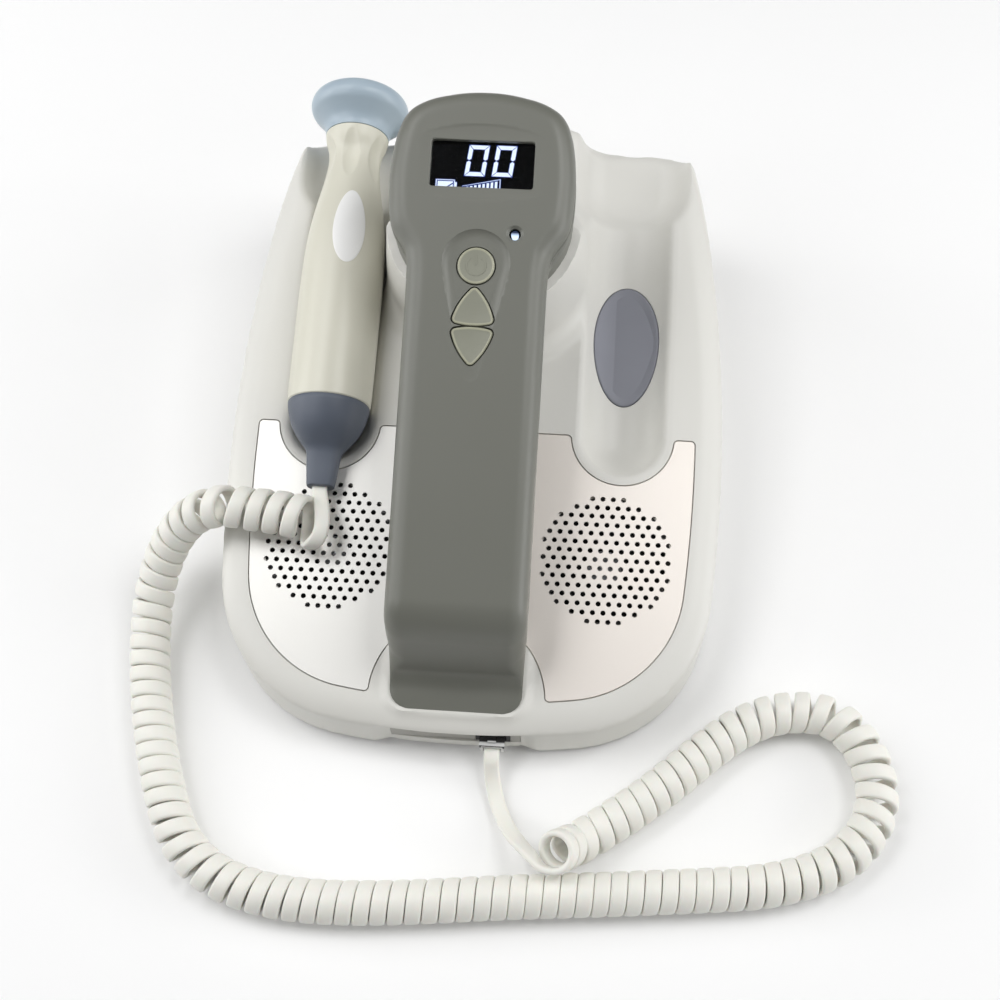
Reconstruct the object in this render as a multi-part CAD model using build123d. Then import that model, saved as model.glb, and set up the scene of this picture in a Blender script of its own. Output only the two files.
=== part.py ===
from build123d import *
import os
from math import cos, degrees, radians, sin, sqrt, tan

os.makedirs("parts", exist_ok=True)

# A table-top fetal doppler: a wedge-shaped base with two speakers and two side troughs, a carrying
# handle with display and keys over it, a hand probe lying in the left trough, and its curly cord.
# World frame: X to the right, Y to the rear, Z up, and the rubber feet stand on Z = 0.
# "Plate frame" below is the slanted plane of the speaker grilles: x right, y up the slope, z its normal.
# "Handle frame" is the plane of the handle's top face, steeper by HANDLE_TILT.

# ---- general ----
CLEAR = 0.3             # gap between pieces that do not carry each other
SHELL = 2.5             # wall of the base covers
REACH = 400.0           # longer than the whole object, for cutting tools

# ---- grille plane and base plan ----
SLOPE = 12.0            # rise of the grille plane towards the rear, degrees
PLATE_Z = 38.0          # its height between the speakers
FOOT_HEIGHT = 2.5
BASE_FRONT = 67.6       # from the speakers' row to the front wall
BASE_REAR = 185.2       # and to the rear wall
BASE_HALF = 97.6        # half the greatest width
WIDEST = 57.8           # the widest place, behind the speakers' row
FRONT_TAPER = 8.3       # the front corners, before rounding, lie this much further in
REAR_TAPER = 16.7
FRONT_HALF = BASE_HALF - FRONT_TAPER
REAR_HALF = BASE_HALF - REAR_TAPER
FRONT_BOW = 12.6        # how far the front wall bows out
REAR_BOW = 1.0
FRONT_ROUND = 57.0
REAR_ROUND = 20.0
ROLL_WIDTH = 9.0        # the top face rolls down to the crease along the walls
ROLL_DROP = 3.3
ROLL_ROUND = 14.0       # where the roll leaves the grille plane
CREASE_ROUND = 1.2      # the crease between roll and wall

# ---- front recess with the connector panel ----
RECESS_HALF = 30.0
RECESS_DEPTH = 2.0
SLOT_HALF = 25.0
SLOT_LOW = 7.5          # height of the slot's lower edge
SLOT_HIGH = 18.5
PANEL_SET_BACK = 0.8    # panel face behind the recess
PANEL_THICK = 1.5
JACK_X = 14.3
JACK_WIDTH = 13.2
JACK_HIGH = 18.0
JACK_DEPTH = 13.0

# ---- speakers and grilles ----
SPEAKER_INSET = 44.0    # speaker's middle, in from the greatest half width
SPEAKER_X = BASE_HALF - SPEAKER_INSET
HOLE_PITCH = 4.0
HOLE_DIAMETER = 2.0
HOLE_ROWS = (4, 7, 10, 11, 12, 13, 12, 13, 12, 13, 12, 11, 10, 7, 4)
GRILLE_THICK = 1.2
GRILLE_GAP = 0.4        # around the plate, in its recess
GRILLE_BORDER = 11.2    # from the base's plan edge to the plate
GRILLE_TOP = 49.7       # upper end of the plate, up the slope
GRILLE_INNER = 22.0     # edge under the handle
GRILLE_TROUGH_R = 20.4  # bay around the trough's front end
ISLAND_V = -57.0        # round island that carries the handle's foot
ISLAND_R = 33.6
SPEAKER_OPENING_R = 25.5
SPEAKER_FLANGE_R = 29.0
SPEAKER_FLANGE = 1.5
SPEAKER_DEPTH = 12.0
MAGNET_R = 14.0
MAGNET_THICK = 6.0

# ---- troughs for the probe ----
TROUGH_INSET = 39.4     # trough's axis, in from the greatest half width
TROUGH_X = BASE_HALF - TROUGH_INSET
BARREL_RADIUS = 16.6    # the probe's barrel
PROBE_AXIS = 6.5        # probe's axis above the grille plane
PROBE_ROOM = 0.7        # around the barrel, below and at the sides
TROUGH_R = BARREL_RADIUS + PROBE_ROOM
TROUGH_AXIS = PROBE_AXIS - PROBE_ROOM
TROUGH_FRONT = 50.4     # centre of its round front end
TROUGH_REAR = 147.0
BOWL_V = 163.0          # flared end for the probe's head
BOWL_RIM_R = 24.5
BOWL_FLOOR_R = 18.5
BOWL_DEPTH = 9.5
PAD_V = 93.0
PAD_HALF_LENGTH = 26.0
PAD_HALF_WIDTH = 13.0
PAD_THICK = 1.3
PAD_PROUD = 0.6

# ---- pedestal under the handle's head ----
PEDESTAL_V = 121.0      # its axis, up the slope, under the handle's head
PEDESTAL_LOW_R = 42.0
PEDESTAL_HIGH_R = 36.0
PEDESTAL_HEIGHT = 38.0
CABLE_HOLE_R = 12.0

# ---- handle ----
HANDLE_V = -11.0        # origin of the handle frame in the plate frame
HANDLE_H = 41.0
HANDLE_TILT = 10.0
BAR_HALF = 25.9
BAR_THICK = 17.0
HANDLE_SHELL = 2.2
HANDLE_ROUND = 6.5
HANDLE_PARTING = 9.0    # parting line below the top face
HEAD_HALF = 34.8
HEAD_FRONT_HALF = 34.2
HEAD_REAR_HALF = 32.2
HEAD_PAST_PEDESTAL = 40.8   # the head's rear end, along the handle, past the pedestal's axis
HEAD_REAR_L = PEDESTAL_V - HANDLE_V + HEAD_PAST_PEDESTAL
HEAD_CORNER_L = HEAD_REAR_L - 4.3
HEAD_MIDDLE_L = HEAD_REAR_L - 34.8
HEAD_FRONT_L = HEAD_REAR_L - 50.8
NECK_L = HEAD_REAR_L - 64.8     # where the bar starts to widen
NECK_ROUND = 10.0
SHOULDER_ROUND = 13.0
HEAD_ROUND = 13.0
COLLAR_R = 34.3
BEND_V = -35.5          # where the bar bends down into the foot
BEND_ROUND = 14.0
SHIN_V = -49.5          # front of the leg at the grille plane
LEG_REAR_LOW_V = -30.0
LEG_REAR_HIGH_V = -22.0
LEG_REAR_ROUND = 10.0
FOOT_FRONT_V = -61.5
FOOT_FLARE = 8.0        # height of the flared foot
FOOT_HALF = 24.9
FOOT_ROUND = 6.5

# ---- display, keys and board in the handle ----
WINDOW_FROM_REAR = 29.2     # window's middle from the head's rear end
WINDOW_L = HEAD_REAR_L - WINDOW_FROM_REAR
WINDOW_WIDTH = 38.2
WINDOW_LENGTH = 17.8
WINDOW_CORNER = 1.2
LENS_LAP = 2.0
LENS_THICK = 1.5
LCD_WIDTH = 46.0
LCD_LENGTH = 27.0
LCD_THICK = 3.5
BOARD_DEPTH = 8.0       # board's upper face below the handle's top face
BOARD_THICK = 1.2
LAMP_X = 13.5
LAMP_TO_WINDOW = 25.8
LAMP_L = WINDOW_L - LAMP_TO_WINDOW
LAMP_HOLE_R = 2.1
LAMP_R = 1.4
LAMP_SET_BACK = 1.0
SCOOP_DEPTH = 1.0
POWER_TO_LAMP = 12.3
POWER_L = LAMP_L - POWER_TO_LAMP
POWER_R = 6.6
SCOOP_L = POWER_L + 1.0
SCOOP_R = 12.6
SCOOP_END_L = POWER_L - 39.5
SCOOP_END_R = 3.5
KEY_GAP = 0.3
KEY_PROUD = 0.6         # keys stand above the scoop
KEY_TRAVEL = 0.4
KEY_LENGTH = 12.85      # of the up and down keys, before rounding
UP_APEX_L = POWER_L - 8.0
UP_BASE_L = UP_APEX_L - KEY_LENGTH
KEY_SPACE = 3.25        # between the two
DOWN_BASE_L = UP_BASE_L - KEY_SPACE
DOWN_APEX_L = DOWN_BASE_L - KEY_LENGTH
KEY_HALF = 7.5
KEY_BULGE = 1.0
KEY_CORNER = 1.4
RIBBON_TO_WINDOW = 12.6     # where the ribbon leaves the display board
RIBBON_L = WINDOW_L - RIBBON_TO_WINDOW
RIBBON_HALF = 9.0
RIBBON_THICK = 0.6
SWITCH_SIZE = 6.0
SWITCH_THICK = 2.2
BOARD_HEAD_WIDTH = 56.0     # the display board under the window
BOARD_HEAD_LENGTH = 41.0
BOARD_BAR_WIDTH = 44.0      # and under the keys
POST_X = 26.0           # posts under the board's head
POST_REAR = 6.4         # past the window's middle
BAR_POST_X = 18.0

# ---- probe ----
CAP_V = 173.5           # joint between cap and body
CAP_RIM_R = 20.5
FLARE_R = CAP_RIM_R - 3.5       # where the flare's curve reverses
FLARE_LENGTH = 7.5
FLARE_V = CAP_V + FLARE_LENGTH
RIM_RISE = 7.0          # from there to the widest place
CAP_RIM_V = FLARE_V + RIM_RISE
DOME_R = CAP_RIM_R - 3.5        # where the rim passes into the domed front
RIM_DEPTH = 5.6
DOME_V = CAP_RIM_V + RIM_DEPTH
DOME_RISE = 2.4
CAP_FRONT_V = DOME_V + DOME_RISE
COLLAR_RADIUS = 13.1
NECK_BACK = 12.5        # from the joint to the narrowest place
NECK_V = CAP_V - NECK_BACK
NECK_RADIUS = 10.6
PROBE_WALL = 2.0
SPIGOT_LENGTH = 6.0
BODY_LENGTH = 119.0
BODY_END_V = CAP_V - BODY_LENGTH
BULB_LENGTH = 19.9      # rubber boot: bulb and sleeve
SLEEVE_LENGTH = 13.6
SLEEVE_FOOT_V = BODY_END_V - BULB_LENGTH
BOOT_END_V = SLEEVE_FOOT_V - SLEEVE_LENGTH
SLEEVE_R = 4.8
SLEEVE_FOOT_R = 6.3
LABEL_V = 126.0
LABEL_HALF_LENGTH = 17.5
LABEL_HALF_WIDTH = 7.0
LABEL_THICK = 0.15

# ---- cord ----
COIL_R = 8.0            # outer radius of the curly cord
LEAD_R = 2.0            # straight lead, as a round cord of the flat lead's area
PLUG_WIDTH = 9.65
PLUG_HEIGHT = 6.6
PLUG_LENGTH = 12.4
PLUG_Z = 12.3
PLUG_OUT = 4.6          # length of plug that stays outside the panel

# ---- inside the base ----
BOSS_R = 4.0
BOSS_INSET = 11.2       # side bosses, in from the greatest half width
FRONT_BOSS_INSET = 59.6     # front pair, from the front wall
BOSS_SPACING = 100.0    # to the middle pair
REAR_BOSS_X = 36.0
REAR_BOSS_INSET = 19.2  # rear bosses, in from the rear wall
FOOT_R = 8.0
FRONT_FOOT_INSET = 31.6     # front feet, in from the greatest half width
REAR_FOOT_INSET = 29.6
FOOT_FROM_FRONT = 31.6
FOOT_FROM_REAR = 31.2
SCREW_R = 1.45
SCREW_BORE_R = 1.5
SCREW_HEAD_R = 2.8
SCREW_HEAD = 1.2
BOARD_GAP = 1.0         # standoff height under the main board
MAIN_BOARD_HALF = 34.0
MAIN_BOARD_REAR = 0.0
MAIN_BOARD_THICK = 1.6
BATTERY_SIZE = (88.0, 50.0, 24.0)
BATTERY_Y = 48.0
CRADLE_WALL = 2.0
CRADLE_HEIGHT = 10.0
DOOR_LIP = 3.0
DOOR_THICK = 1.4


def ring_of(points):
    """A closed face from a list of corners."""
    return make_face(Polyline(*points, close=True))


def corners_near(sketch, *places):
    """The sketch's corners that lie at the given places."""
    found = []
    for place in places:
        found.append(min(sketch.vertices(), key=lambda v: (v.X - place[0]) ** 2 + (v.Y - place[1]) ** 2))
    return found


def crossing(one, other, near):
    """The point near a place where two circles, given as centre and radius, cross."""
    (a, ra), (b, rb) = one, other
    span = b - a
    along = (ra ** 2 - rb ** 2 + span.length ** 2) / (2 * span.length)
    aside = sqrt(ra ** 2 - along ** 2)
    unit = span.normalized()
    across = Vector(-unit.Y, unit.X)
    points = [a + unit * along + across * sign * aside for sign in (-1, 1)]
    return min(points, key=lambda p: (p - Vector(*near)).length)


def bowed_outline(corners, middles, rounds, inset=0.0):
    """A face with sides that bow outwards and rounded corners, moved in by inset."""
    count = len(corners)
    circles = []
    for i, middle in enumerate(middles):
        arc = ThreePointArc(corners[i], middle, corners[(i + 1) % count])
        circles.append((arc.arc_center, arc.radius - inset))
    moved = [crossing(circles[i - 1], circles[i], corners[i]) for i in range(count)]
    edges = []
    for i, (centre, radius) in enumerate(circles):
        out = (Vector(*middles[i]) - centre).normalized()
        edges.append(ThreePointArc(moved[i], centre + out * radius, moved[(i + 1) % count]))
    face = make_face(edges)
    for corner, rounding in zip(moved, rounds):
        face = fillet(corners_near(face, (corner.X, corner.Y)), rounding - inset)
    return face


def group(solids):
    """Several separate solids as one node."""
    return Compound(children=list(solids))


# ======================= probe, in its own frame: its axis is Y, from the cord end to the head ==========
def solid_of(shape):
    """The largest solid of a shape."""
    return max(shape.solids(), key=lambda s: s.volume)


def revolved(points):
    """A solid turned about the Y axis from (radius, y) points."""
    return revolve(ring_of([(r, y, 0) for r, y in points]), axis=Axis.Y)


def cap_outline():
    """Half outline of the mushroom head: joint with the body, S-shaped flare and rim, no dome yet."""
    flare = ThreePointArc((COLLAR_RADIUS, CAP_V), (COLLAR_RADIUS + 0.9, CAP_V + 4.0), (FLARE_R, FLARE_V))
    flare += ThreePointArc((FLARE_R, FLARE_V), (CAP_RIM_R - 0.7, CAP_RIM_V - 3.8), (CAP_RIM_R, CAP_RIM_V))
    rim = ThreePointArc((CAP_RIM_R, CAP_RIM_V), (CAP_RIM_R - 0.9, CAP_RIM_V + 3.5), (DOME_R, DOME_V))
    close = Polyline((DOME_R, DOME_V), (DOME_R, CAP_FRONT_V + 1), (0, CAP_FRONT_V + 1), (0, CAP_V),
                     (COLLAR_RADIUS, CAP_V))
    return make_face(flare + rim + close)


BODY_CURVE = ((COLLAR_RADIUS, CAP_V), (COLLAR_RADIUS - 0.7, CAP_V - 4.0), (NECK_RADIUS, NECK_V),
              (NECK_RADIUS + 1.3, NECK_V - 11.5), (BARREL_RADIUS - 2.2, NECK_V - 25.0),
              (BARREL_RADIUS - 0.5, NECK_V - 40.0), (BARREL_RADIUS, NECK_V - 60.0),
              (BARREL_RADIUS, BODY_END_V + 15.5), (BARREL_RADIUS - 0.3, BODY_END_V))


def body_outline(grow=0.0):
    """Half outline of the probe's body, from collar to cord end, moved out by grow."""
    side = Spline(*[(r + grow, y) for r, y in BODY_CURVE])
    close = Polyline((BODY_CURVE[-1][0] + grow, BODY_END_V), (0, BODY_END_V), (0, CAP_V),
                     (COLLAR_RADIUS + grow, CAP_V))
    return make_face(side + close)


def boot_outline():
    """Half outline of the rubber boot: a bulb that runs out into a sleeve."""
    bulb_r = BARREL_RADIUS - 0.5
    bulb = Spline((bulb_r, BODY_END_V), (bulb_r - 0.6, BODY_END_V - 4.0), (bulb_r - 2.4, BODY_END_V - 10.0),
                  (bulb_r - 4.9, BODY_END_V - 14.5), (SLEEVE_FOOT_R, SLEEVE_FOOT_V),
                  tangents=((0, -1), (-0.35, -1)))
    sleeve = Polyline((SLEEVE_FOOT_R, SLEEVE_FOOT_V), (SLEEVE_R, BOOT_END_V), (0, BOOT_END_V), (0, BODY_END_V),
                      (bulb_r, BODY_END_V))
    return make_face(bulb + sleeve)


bore_r = NECK_RADIUS - PROBE_WALL
probe_body_solid = revolve(body_outline(), axis=Axis.Y)
barrel_bore_r = BARREL_RADIUS - 2.6
body_hollow = revolved([(0, CAP_V), (bore_r, CAP_V), (bore_r, NECK_V - 15.0), (barrel_bore_r, NECK_V - 49.0),
                        (barrel_bore_r, BODY_END_V), (0, BODY_END_V)])
probe_body = probe_body_solid - body_hollow

cap_bore = bore_r - PROBE_WALL
cap_cavity = revolved([(0, CAP_V - SPIGOT_LENGTH), (cap_bore, CAP_V - SPIGOT_LENGTH), (cap_bore, CAP_RIM_V - 4.0),
                       (CAP_RIM_R - 6.0, CAP_RIM_V - 2.0), (CAP_RIM_R - 6.0, CAP_FRONT_V - 4.0),
                       (0, CAP_FRONT_V - 4.0)])
cap_spigot = revolved([(0, CAP_V - SPIGOT_LENGTH), (bore_r, CAP_V - SPIGOT_LENGTH), (bore_r, CAP_V), (0, CAP_V)])
dome_radius = (DOME_R ** 2 + DOME_RISE ** 2) / (2 * DOME_RISE)
dome = Pos(0, CAP_FRONT_V - dome_radius, 0) * Sphere(dome_radius)
probe_cap = solid_of((revolve(cap_outline(), axis=Axis.Y) & dome) + cap_spigot - cap_cavity)

spigot_r = barrel_bore_r - 0.1
boot_spigot = revolved([(0, BODY_END_V), (spigot_r, BODY_END_V), (spigot_r, BODY_END_V + SPIGOT_LENGTH),
                        (0, BODY_END_V + SPIGOT_LENGTH)])
probe_boot = revolve(boot_outline(), axis=Axis.Y) + boot_spigot

crystal_v = CAP_FRONT_V - 4.0
crystal_disc = revolved([(0, crystal_v - 1.5), (11.0, crystal_v - 1.5), (11.0, crystal_v), (0, crystal_v)])
crystals = crystal_disc - Box(1.6, REACH, REACH)
board_span = (BODY_END_V + SPIGOT_LENGTH, CAP_V - SPIGOT_LENGTH)
probe_board = Pos(0, sum(board_span) / 2, 0) * Box(2 * bore_r - 1.0, board_span[1] - board_span[0], 1.2)
label_skin = revolve(body_outline(LABEL_THICK), axis=Axis.Y) - probe_body_solid
label_oval = Pos(0, LABEL_V, 0) * extrude(Ellipse(LABEL_HALF_WIDTH, LABEL_HALF_LENGTH), 30)
probe_label = label_skin & label_oval

# ======================= frames =======================
head_reach = (Rot(SLOPE, 0, 0) * Pos(0, 0, PROBE_AXIS) * probe_cap).bounding_box().max.Y
PLATE_Y = (BASE_FRONT - head_reach) / 2
plate_at = Pos(0, PLATE_Y, PLATE_Z) * Rot(SLOPE, 0, 0)
handle_at = plate_at * Pos(0, HANDLE_V, HANDLE_H) * Rot(HANDLE_TILT, 0, 0)
probe_at = plate_at * Pos(-TROUGH_X, 0, PROBE_AXIS)
front_y = PLATE_Y - BASE_FRONT
rear_y = PLATE_Y + BASE_REAR


# ======================= base =======================
def base_plan(inset=0.0):
    """The base's plan: four bowed walls and round corners, drawn in world X and Y."""
    fr = (FRONT_HALF, front_y + FRONT_BOW)
    rr = (REAR_HALF, rear_y - REAR_BOW)
    fl = (-fr[0], fr[1])
    rl = (-rr[0], rr[1])
    middle = PLATE_Y + WIDEST
    middles = [(0, front_y), (BASE_HALF, middle), (0, rear_y), (-BASE_HALF, middle)]
    rounds = (FRONT_ROUND, FRONT_ROUND, REAR_ROUND, REAR_ROUND)
    return bowed_outline([fl, fr, rr, rl], middles, rounds, inset)


def under_plate(level):
    """Everything below the grille plane, shifted along its normal by level."""
    return plate_at * Pos(0, 0, level - REACH / 2) * Box(REACH, REACH, REACH)


def wedge(inset, low, level):
    """The base's block, inset from the walls, from height low up to the grille plane at level."""
    return Pos(0, 0, low) * extrude(base_plan(inset), REACH / 2) & under_plate(level)


def trough(side, grow=0.0):
    """The channel for the probe: a cylinder with a ball-shaped front end and a flared bowl behind."""
    radius = TROUGH_R + grow
    length = TROUGH_REAR - TROUGH_FRONT
    channel = Pos(0, TROUGH_FRONT + length / 2, TROUGH_AXIS) * Rot(90, 0, 0) * Cylinder(radius, length)
    ball = Pos(0, TROUGH_FRONT, TROUGH_AXIS) * Sphere(radius)
    rise = 8.0
    low = -BOWL_DEPTH - grow
    spread = (BOWL_RIM_R - BOWL_FLOOR_R) / BOWL_DEPTH
    top_r = BOWL_RIM_R + rise * spread + grow
    low_r = BOWL_FLOOR_R + grow
    bowl = Pos(0, BOWL_V, (low + rise) / 2) * Cone(low_r, top_r, rise - low)
    mouth_face = ring_of([(-low_r, low), (low_r, low), (top_r, rise), (-top_r, rise)])
    mouth = Pos(0, BOWL_V, 0) * Rot(90, 0, 0) * extrude(mouth_face, -60)
    floor_r = PROBE_AXIS + BOWL_DEPTH
    rim_r = CAP_RIM_R + 0.7 + grow
    relief_v = CAP_RIM_V - 9.6
    relief = Pos(0, 0, PROBE_AXIS) * revolved([(0, relief_v), (floor_r + grow, relief_v), (rim_r - 2.0, relief_v + 4),
                                               (rim_r, CAP_RIM_V - 1.0), (rim_r, REACH), (0, REACH)])
    return plate_at * Pos(side * TROUGH_X, 0, 0) * (channel + ball + bowl + mouth + relief)


def grille_plan(side, grow=0.0):
    """A vertical prism with the grille plate's outline."""
    field = Pos(0, 0, 0) * extrude(base_plan(GRILLE_BORDER - grow), REACH / 2)
    window = plate_at * Pos(side * (GRILLE_INNER - grow + REACH / 2), GRILLE_TOP + grow - REACH / 2, 0) \
        * Box(REACH, REACH, REACH)
    bay = plate_at * Pos(side * TROUGH_X, TROUGH_FRONT, 0) * Cylinder(GRILLE_TROUGH_R - grow, REACH)
    island = plate_at * Pos(0, ISLAND_V, 0) * Cylinder(ISLAND_R - grow, REACH)
    return (field & window) - bay - island


def slab(low, high):
    """The layer between two levels of the plate frame."""
    return plate_at * Pos(0, 0, (low + high) / 2) * Box(REACH, REACH, high - low)


def hole_places():
    """Centres of the speaker holes: staggered rows, the first row at the rear."""
    rise = HOLE_PITCH * sqrt(3) / 2
    middle = (len(HOLE_ROWS) - 1) / 2
    places = []
    for row, count in enumerate(HOLE_ROWS):
        for i in range(count):
            places.append(((i - (count - 1) / 2) * HOLE_PITCH, (middle - row) * rise))
    return places


def grille(side):
    """A punched metal plate."""
    plate = grille_plan(side) & slab(-GRILLE_THICK, 0)
    punches = [plate_at * Pos(side * SPEAKER_X + x, y, 0) * Cylinder(HOLE_DIAMETER / 2, 4 * GRILLE_THICK)
               for x, y in hole_places()]
    return plate - punches


wall_top = -SHELL
block = wedge(0, FOOT_HEIGHT, 0)
rim = [e for e in block.edges() if e.center().Z > FOOT_HEIGHT + 10
       and abs(e.tangent_at(0.5).Z) < 0.5 and abs(e.tangent_at(0.5).X) + abs(e.tangent_at(0.5).Y) > 0.5]
top_face = max(block.faces(), key=lambda f: f.center().Z)
block = chamfer(rim, ROLL_WIDTH, ROLL_DROP, reference=top_face)


def heights(edge):
    """Lowest and highest level of an edge above the grille plane."""
    box = (plate_at.inverse() * edge).bounding_box()
    return box.min.Z, box.max.Z


block = fillet([e for e in block.edges() if max(map(abs, heights(e))) < 0.05], ROLL_ROUND)
crease = [e for e in block.edges() if -ROLL_DROP - 0.3 < heights(e)[0] and heights(e)[1] < -ROLL_DROP + 0.3]
block = fillet(crease, CREASE_ROUND)
pedestal = plate_at * Pos(0, PEDESTAL_V, PEDESTAL_HEIGHT / 2) * Cone(PEDESTAL_LOW_R, PEDESTAL_HIGH_R,
                                                                   PEDESTAL_HEIGHT)
pedestal_hollow = plate_at * Pos(0, PEDESTAL_V, PEDESTAL_HEIGHT / 2 - SHELL) * Cone(
    PEDESTAL_LOW_R - SHELL, PEDESTAL_HIGH_R - SHELL, PEDESTAL_HEIGHT)
pedestal_hollow = solid_of(pedestal_hollow - trough(-1, SHELL) - trough(1, SHELL))
cable_hole = plate_at * Pos(0, PEDESTAL_V, PEDESTAL_HEIGHT) * Cylinder(CABLE_HOLE_R, 4 * SHELL)

hollow = wedge(SHELL, FOOT_HEIGHT, wall_top) - trough(-1, SHELL) - trough(1, SHELL)
recess_floor = -GRILLE_THICK - 0.1
plate_beds = [grille_plan(side, GRILLE_GAP) & slab(recess_floor, 20) for side in (-1, 1)]
bed_backs = [grille_plan(side, GRILLE_GAP + SHELL) & slab(recess_floor - SHELL, wall_top) for side in (-1, 1)]
speaker_ports = [plate_at * Pos(side * SPEAKER_X, 0, 0) * Cylinder(SPEAKER_OPENING_R, 20) for side in (-1, 1)]
front_recess = Pos(0, front_y, REACH / 2) * Box(2 * RECESS_HALF, 2 * RECESS_DEPTH, REACH)
recess_y = front_y + RECESS_DEPTH
front_inner = Pos(0, recess_y + SHELL / 2, SLOT_HIGH) * Box(2 * (RECESS_HALF + SHELL), SHELL, 2 * SLOT_HIGH)
slot = Pos(0, recess_y, (SLOT_LOW + SLOT_HIGH) / 2) * Box(2 * SLOT_HALF, 12, SLOT_HIGH - SLOT_LOW)

top_cover = block + pedestal - trough(-1) - trough(1)
top_cover = top_cover - (hollow - bed_backs - front_inner)
top_cover = top_cover - pedestal_hollow - cable_hole - plate_beds - speaker_ports
top_cover = top_cover - (front_recess & (Pos(0, 0, 0) * Box(REACH, REACH, 2 * (PLATE_Z - 17.5)))) - slot

# screw bosses hang from the top cover down to the bottom cover
floor_z = FOOT_HEIGHT + SHELL
boss_side = BASE_HALF - BOSS_INSET
boss_rear_y = rear_y - REAR_BOSS_INSET
front_boss_y = front_y + FRONT_BOSS_INSET
middle_boss_y = front_boss_y + BOSS_SPACING
boss_places = [(-boss_side, front_boss_y), (boss_side, front_boss_y), (-boss_side, middle_boss_y),
               (boss_side, middle_boss_y), (-REAR_BOSS_X, boss_rear_y), (REAR_BOSS_X, boss_rear_y)]
bosses = [Pos(x, y, 0) * Cylinder(BOSS_R, REACH, align=(Align.CENTER, Align.CENTER, Align.MIN))
          & Pos(0, 0, floor_z) * Box(REACH, REACH, REACH, align=(Align.CENTER, Align.CENTER, Align.MIN))
          & (hollow + under_plate(-SHELL / 2) & under_plate(-SHELL / 2)) for x, y in boss_places]
bosses = [solid_of(b & wedge(SHELL / 2, floor_z, -SHELL / 2)) for b in bosses]
screw_length = 9.0
bores = [Pos(x, y, floor_z) * Cylinder(SCREW_BORE_R, 2 * screw_length) for x, y in boss_places]
top_cover = solid_of(top_cover + bosses - bores)

# bottom cover: a flat tray inside the skirt, with battery opening, cradle and board standoffs
tray = Pos(0, 0, FOOT_HEIGHT) * extrude(base_plan(SHELL + CLEAR), SHELL)
tray = tray - Pos(0, front_y, 0) * Box(2 * (RECESS_HALF + SHELL + CLEAR), 2 * (RECESS_DEPTH + SHELL + CLEAR), 40)
battery_x, battery_y, battery_z = BATTERY_SIZE
opening_low = Pos(0, BATTERY_Y, FOOT_HEIGHT) * Box(battery_x + 2 * DOOR_LIP, battery_y + 2 * DOOR_LIP,
                                                   2 * (DOOR_THICK + 0.1))
opening_high = Pos(0, BATTERY_Y, FOOT_HEIGHT) * Box(battery_x - 2 * DOOR_LIP, battery_y - 2 * DOOR_LIP, 4 * SHELL)
cradle_outer = Box(battery_x + 1 + 2 * CRADLE_WALL, battery_y + 1 + 2 * CRADLE_WALL, CRADLE_HEIGHT)
cradle_inner = Box(battery_x + 1, battery_y + 1, 2 * CRADLE_HEIGHT)
cradle = Pos(0, BATTERY_Y, floor_z + CRADLE_HEIGHT / 2) * (cradle_outer - cradle_inner)
board_front = recess_y + SHELL + 2.5
board_length = MAIN_BOARD_REAR - board_front
standoffs = [Pos(x, y, floor_z + BOARD_GAP / 2) * Cylinder(3, BOARD_GAP)
             for x in (-MAIN_BOARD_HALF + 5, MAIN_BOARD_HALF - 5)
             for y in (board_front + 25, MAIN_BOARD_REAR - 5)]
screw_holes = [Pos(x, y, FOOT_HEIGHT) * Cylinder(SCREW_R + 0.2, 4 * SHELL) for x, y in boss_places]
screw_sinks = [Pos(x, y, FOOT_HEIGHT) * Cylinder(SCREW_HEAD_R + 0.2, 2 * SCREW_HEAD) for x, y in boss_places]
bottom_cover = tray - opening_low - opening_high + cradle + standoffs - screw_holes - screw_sinks
battery_door = Pos(0, BATTERY_Y, FOOT_HEIGHT + DOOR_THICK / 2) * Box(
    battery_x + 2 * DOOR_LIP - 2 * CLEAR, battery_y + 2 * DOOR_LIP - 2 * CLEAR, DOOR_THICK)
battery_pack = Pos(0, BATTERY_Y, floor_z + battery_z / 2) * Box(battery_x, battery_y, battery_z)
battery_pack = fillet(battery_pack.edges().filter_by(Axis.X), 5)


def screw(x, y):
    """A pan-head screw that comes up through the bottom cover into its boss."""
    head = Pos(x, y, FOOT_HEIGHT + SCREW_HEAD / 2 + 0.05) * Cylinder(SCREW_HEAD_R, SCREW_HEAD - 0.1)
    shank = Pos(x, y, FOOT_HEIGHT + SCREW_HEAD + (screw_length - 1) / 2) * Cylinder(SCREW_R, screw_length - 1)
    return head + shank


screws = [screw(x, y) for x, y in boss_places]
front_foot_x = BASE_HALF - FRONT_FOOT_INSET
rear_foot_x = BASE_HALF - REAR_FOOT_INSET
feet_places = [(-front_foot_x, front_y + FOOT_FROM_FRONT), (front_foot_x, front_y + FOOT_FROM_FRONT),
               (-rear_foot_x, rear_y - FOOT_FROM_REAR), (rear_foot_x, rear_y - FOOT_FROM_REAR)]
feet = [Pos(x, y, FOOT_HEIGHT / 2) * Cylinder(FOOT_R, FOOT_HEIGHT) for x, y in feet_places]
feet = [fillet(f.edges().group_by(Axis.Z)[0], 1.0) for f in feet]

# ======================= speakers =======================
flange_top = recess_floor - SHELL


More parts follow.
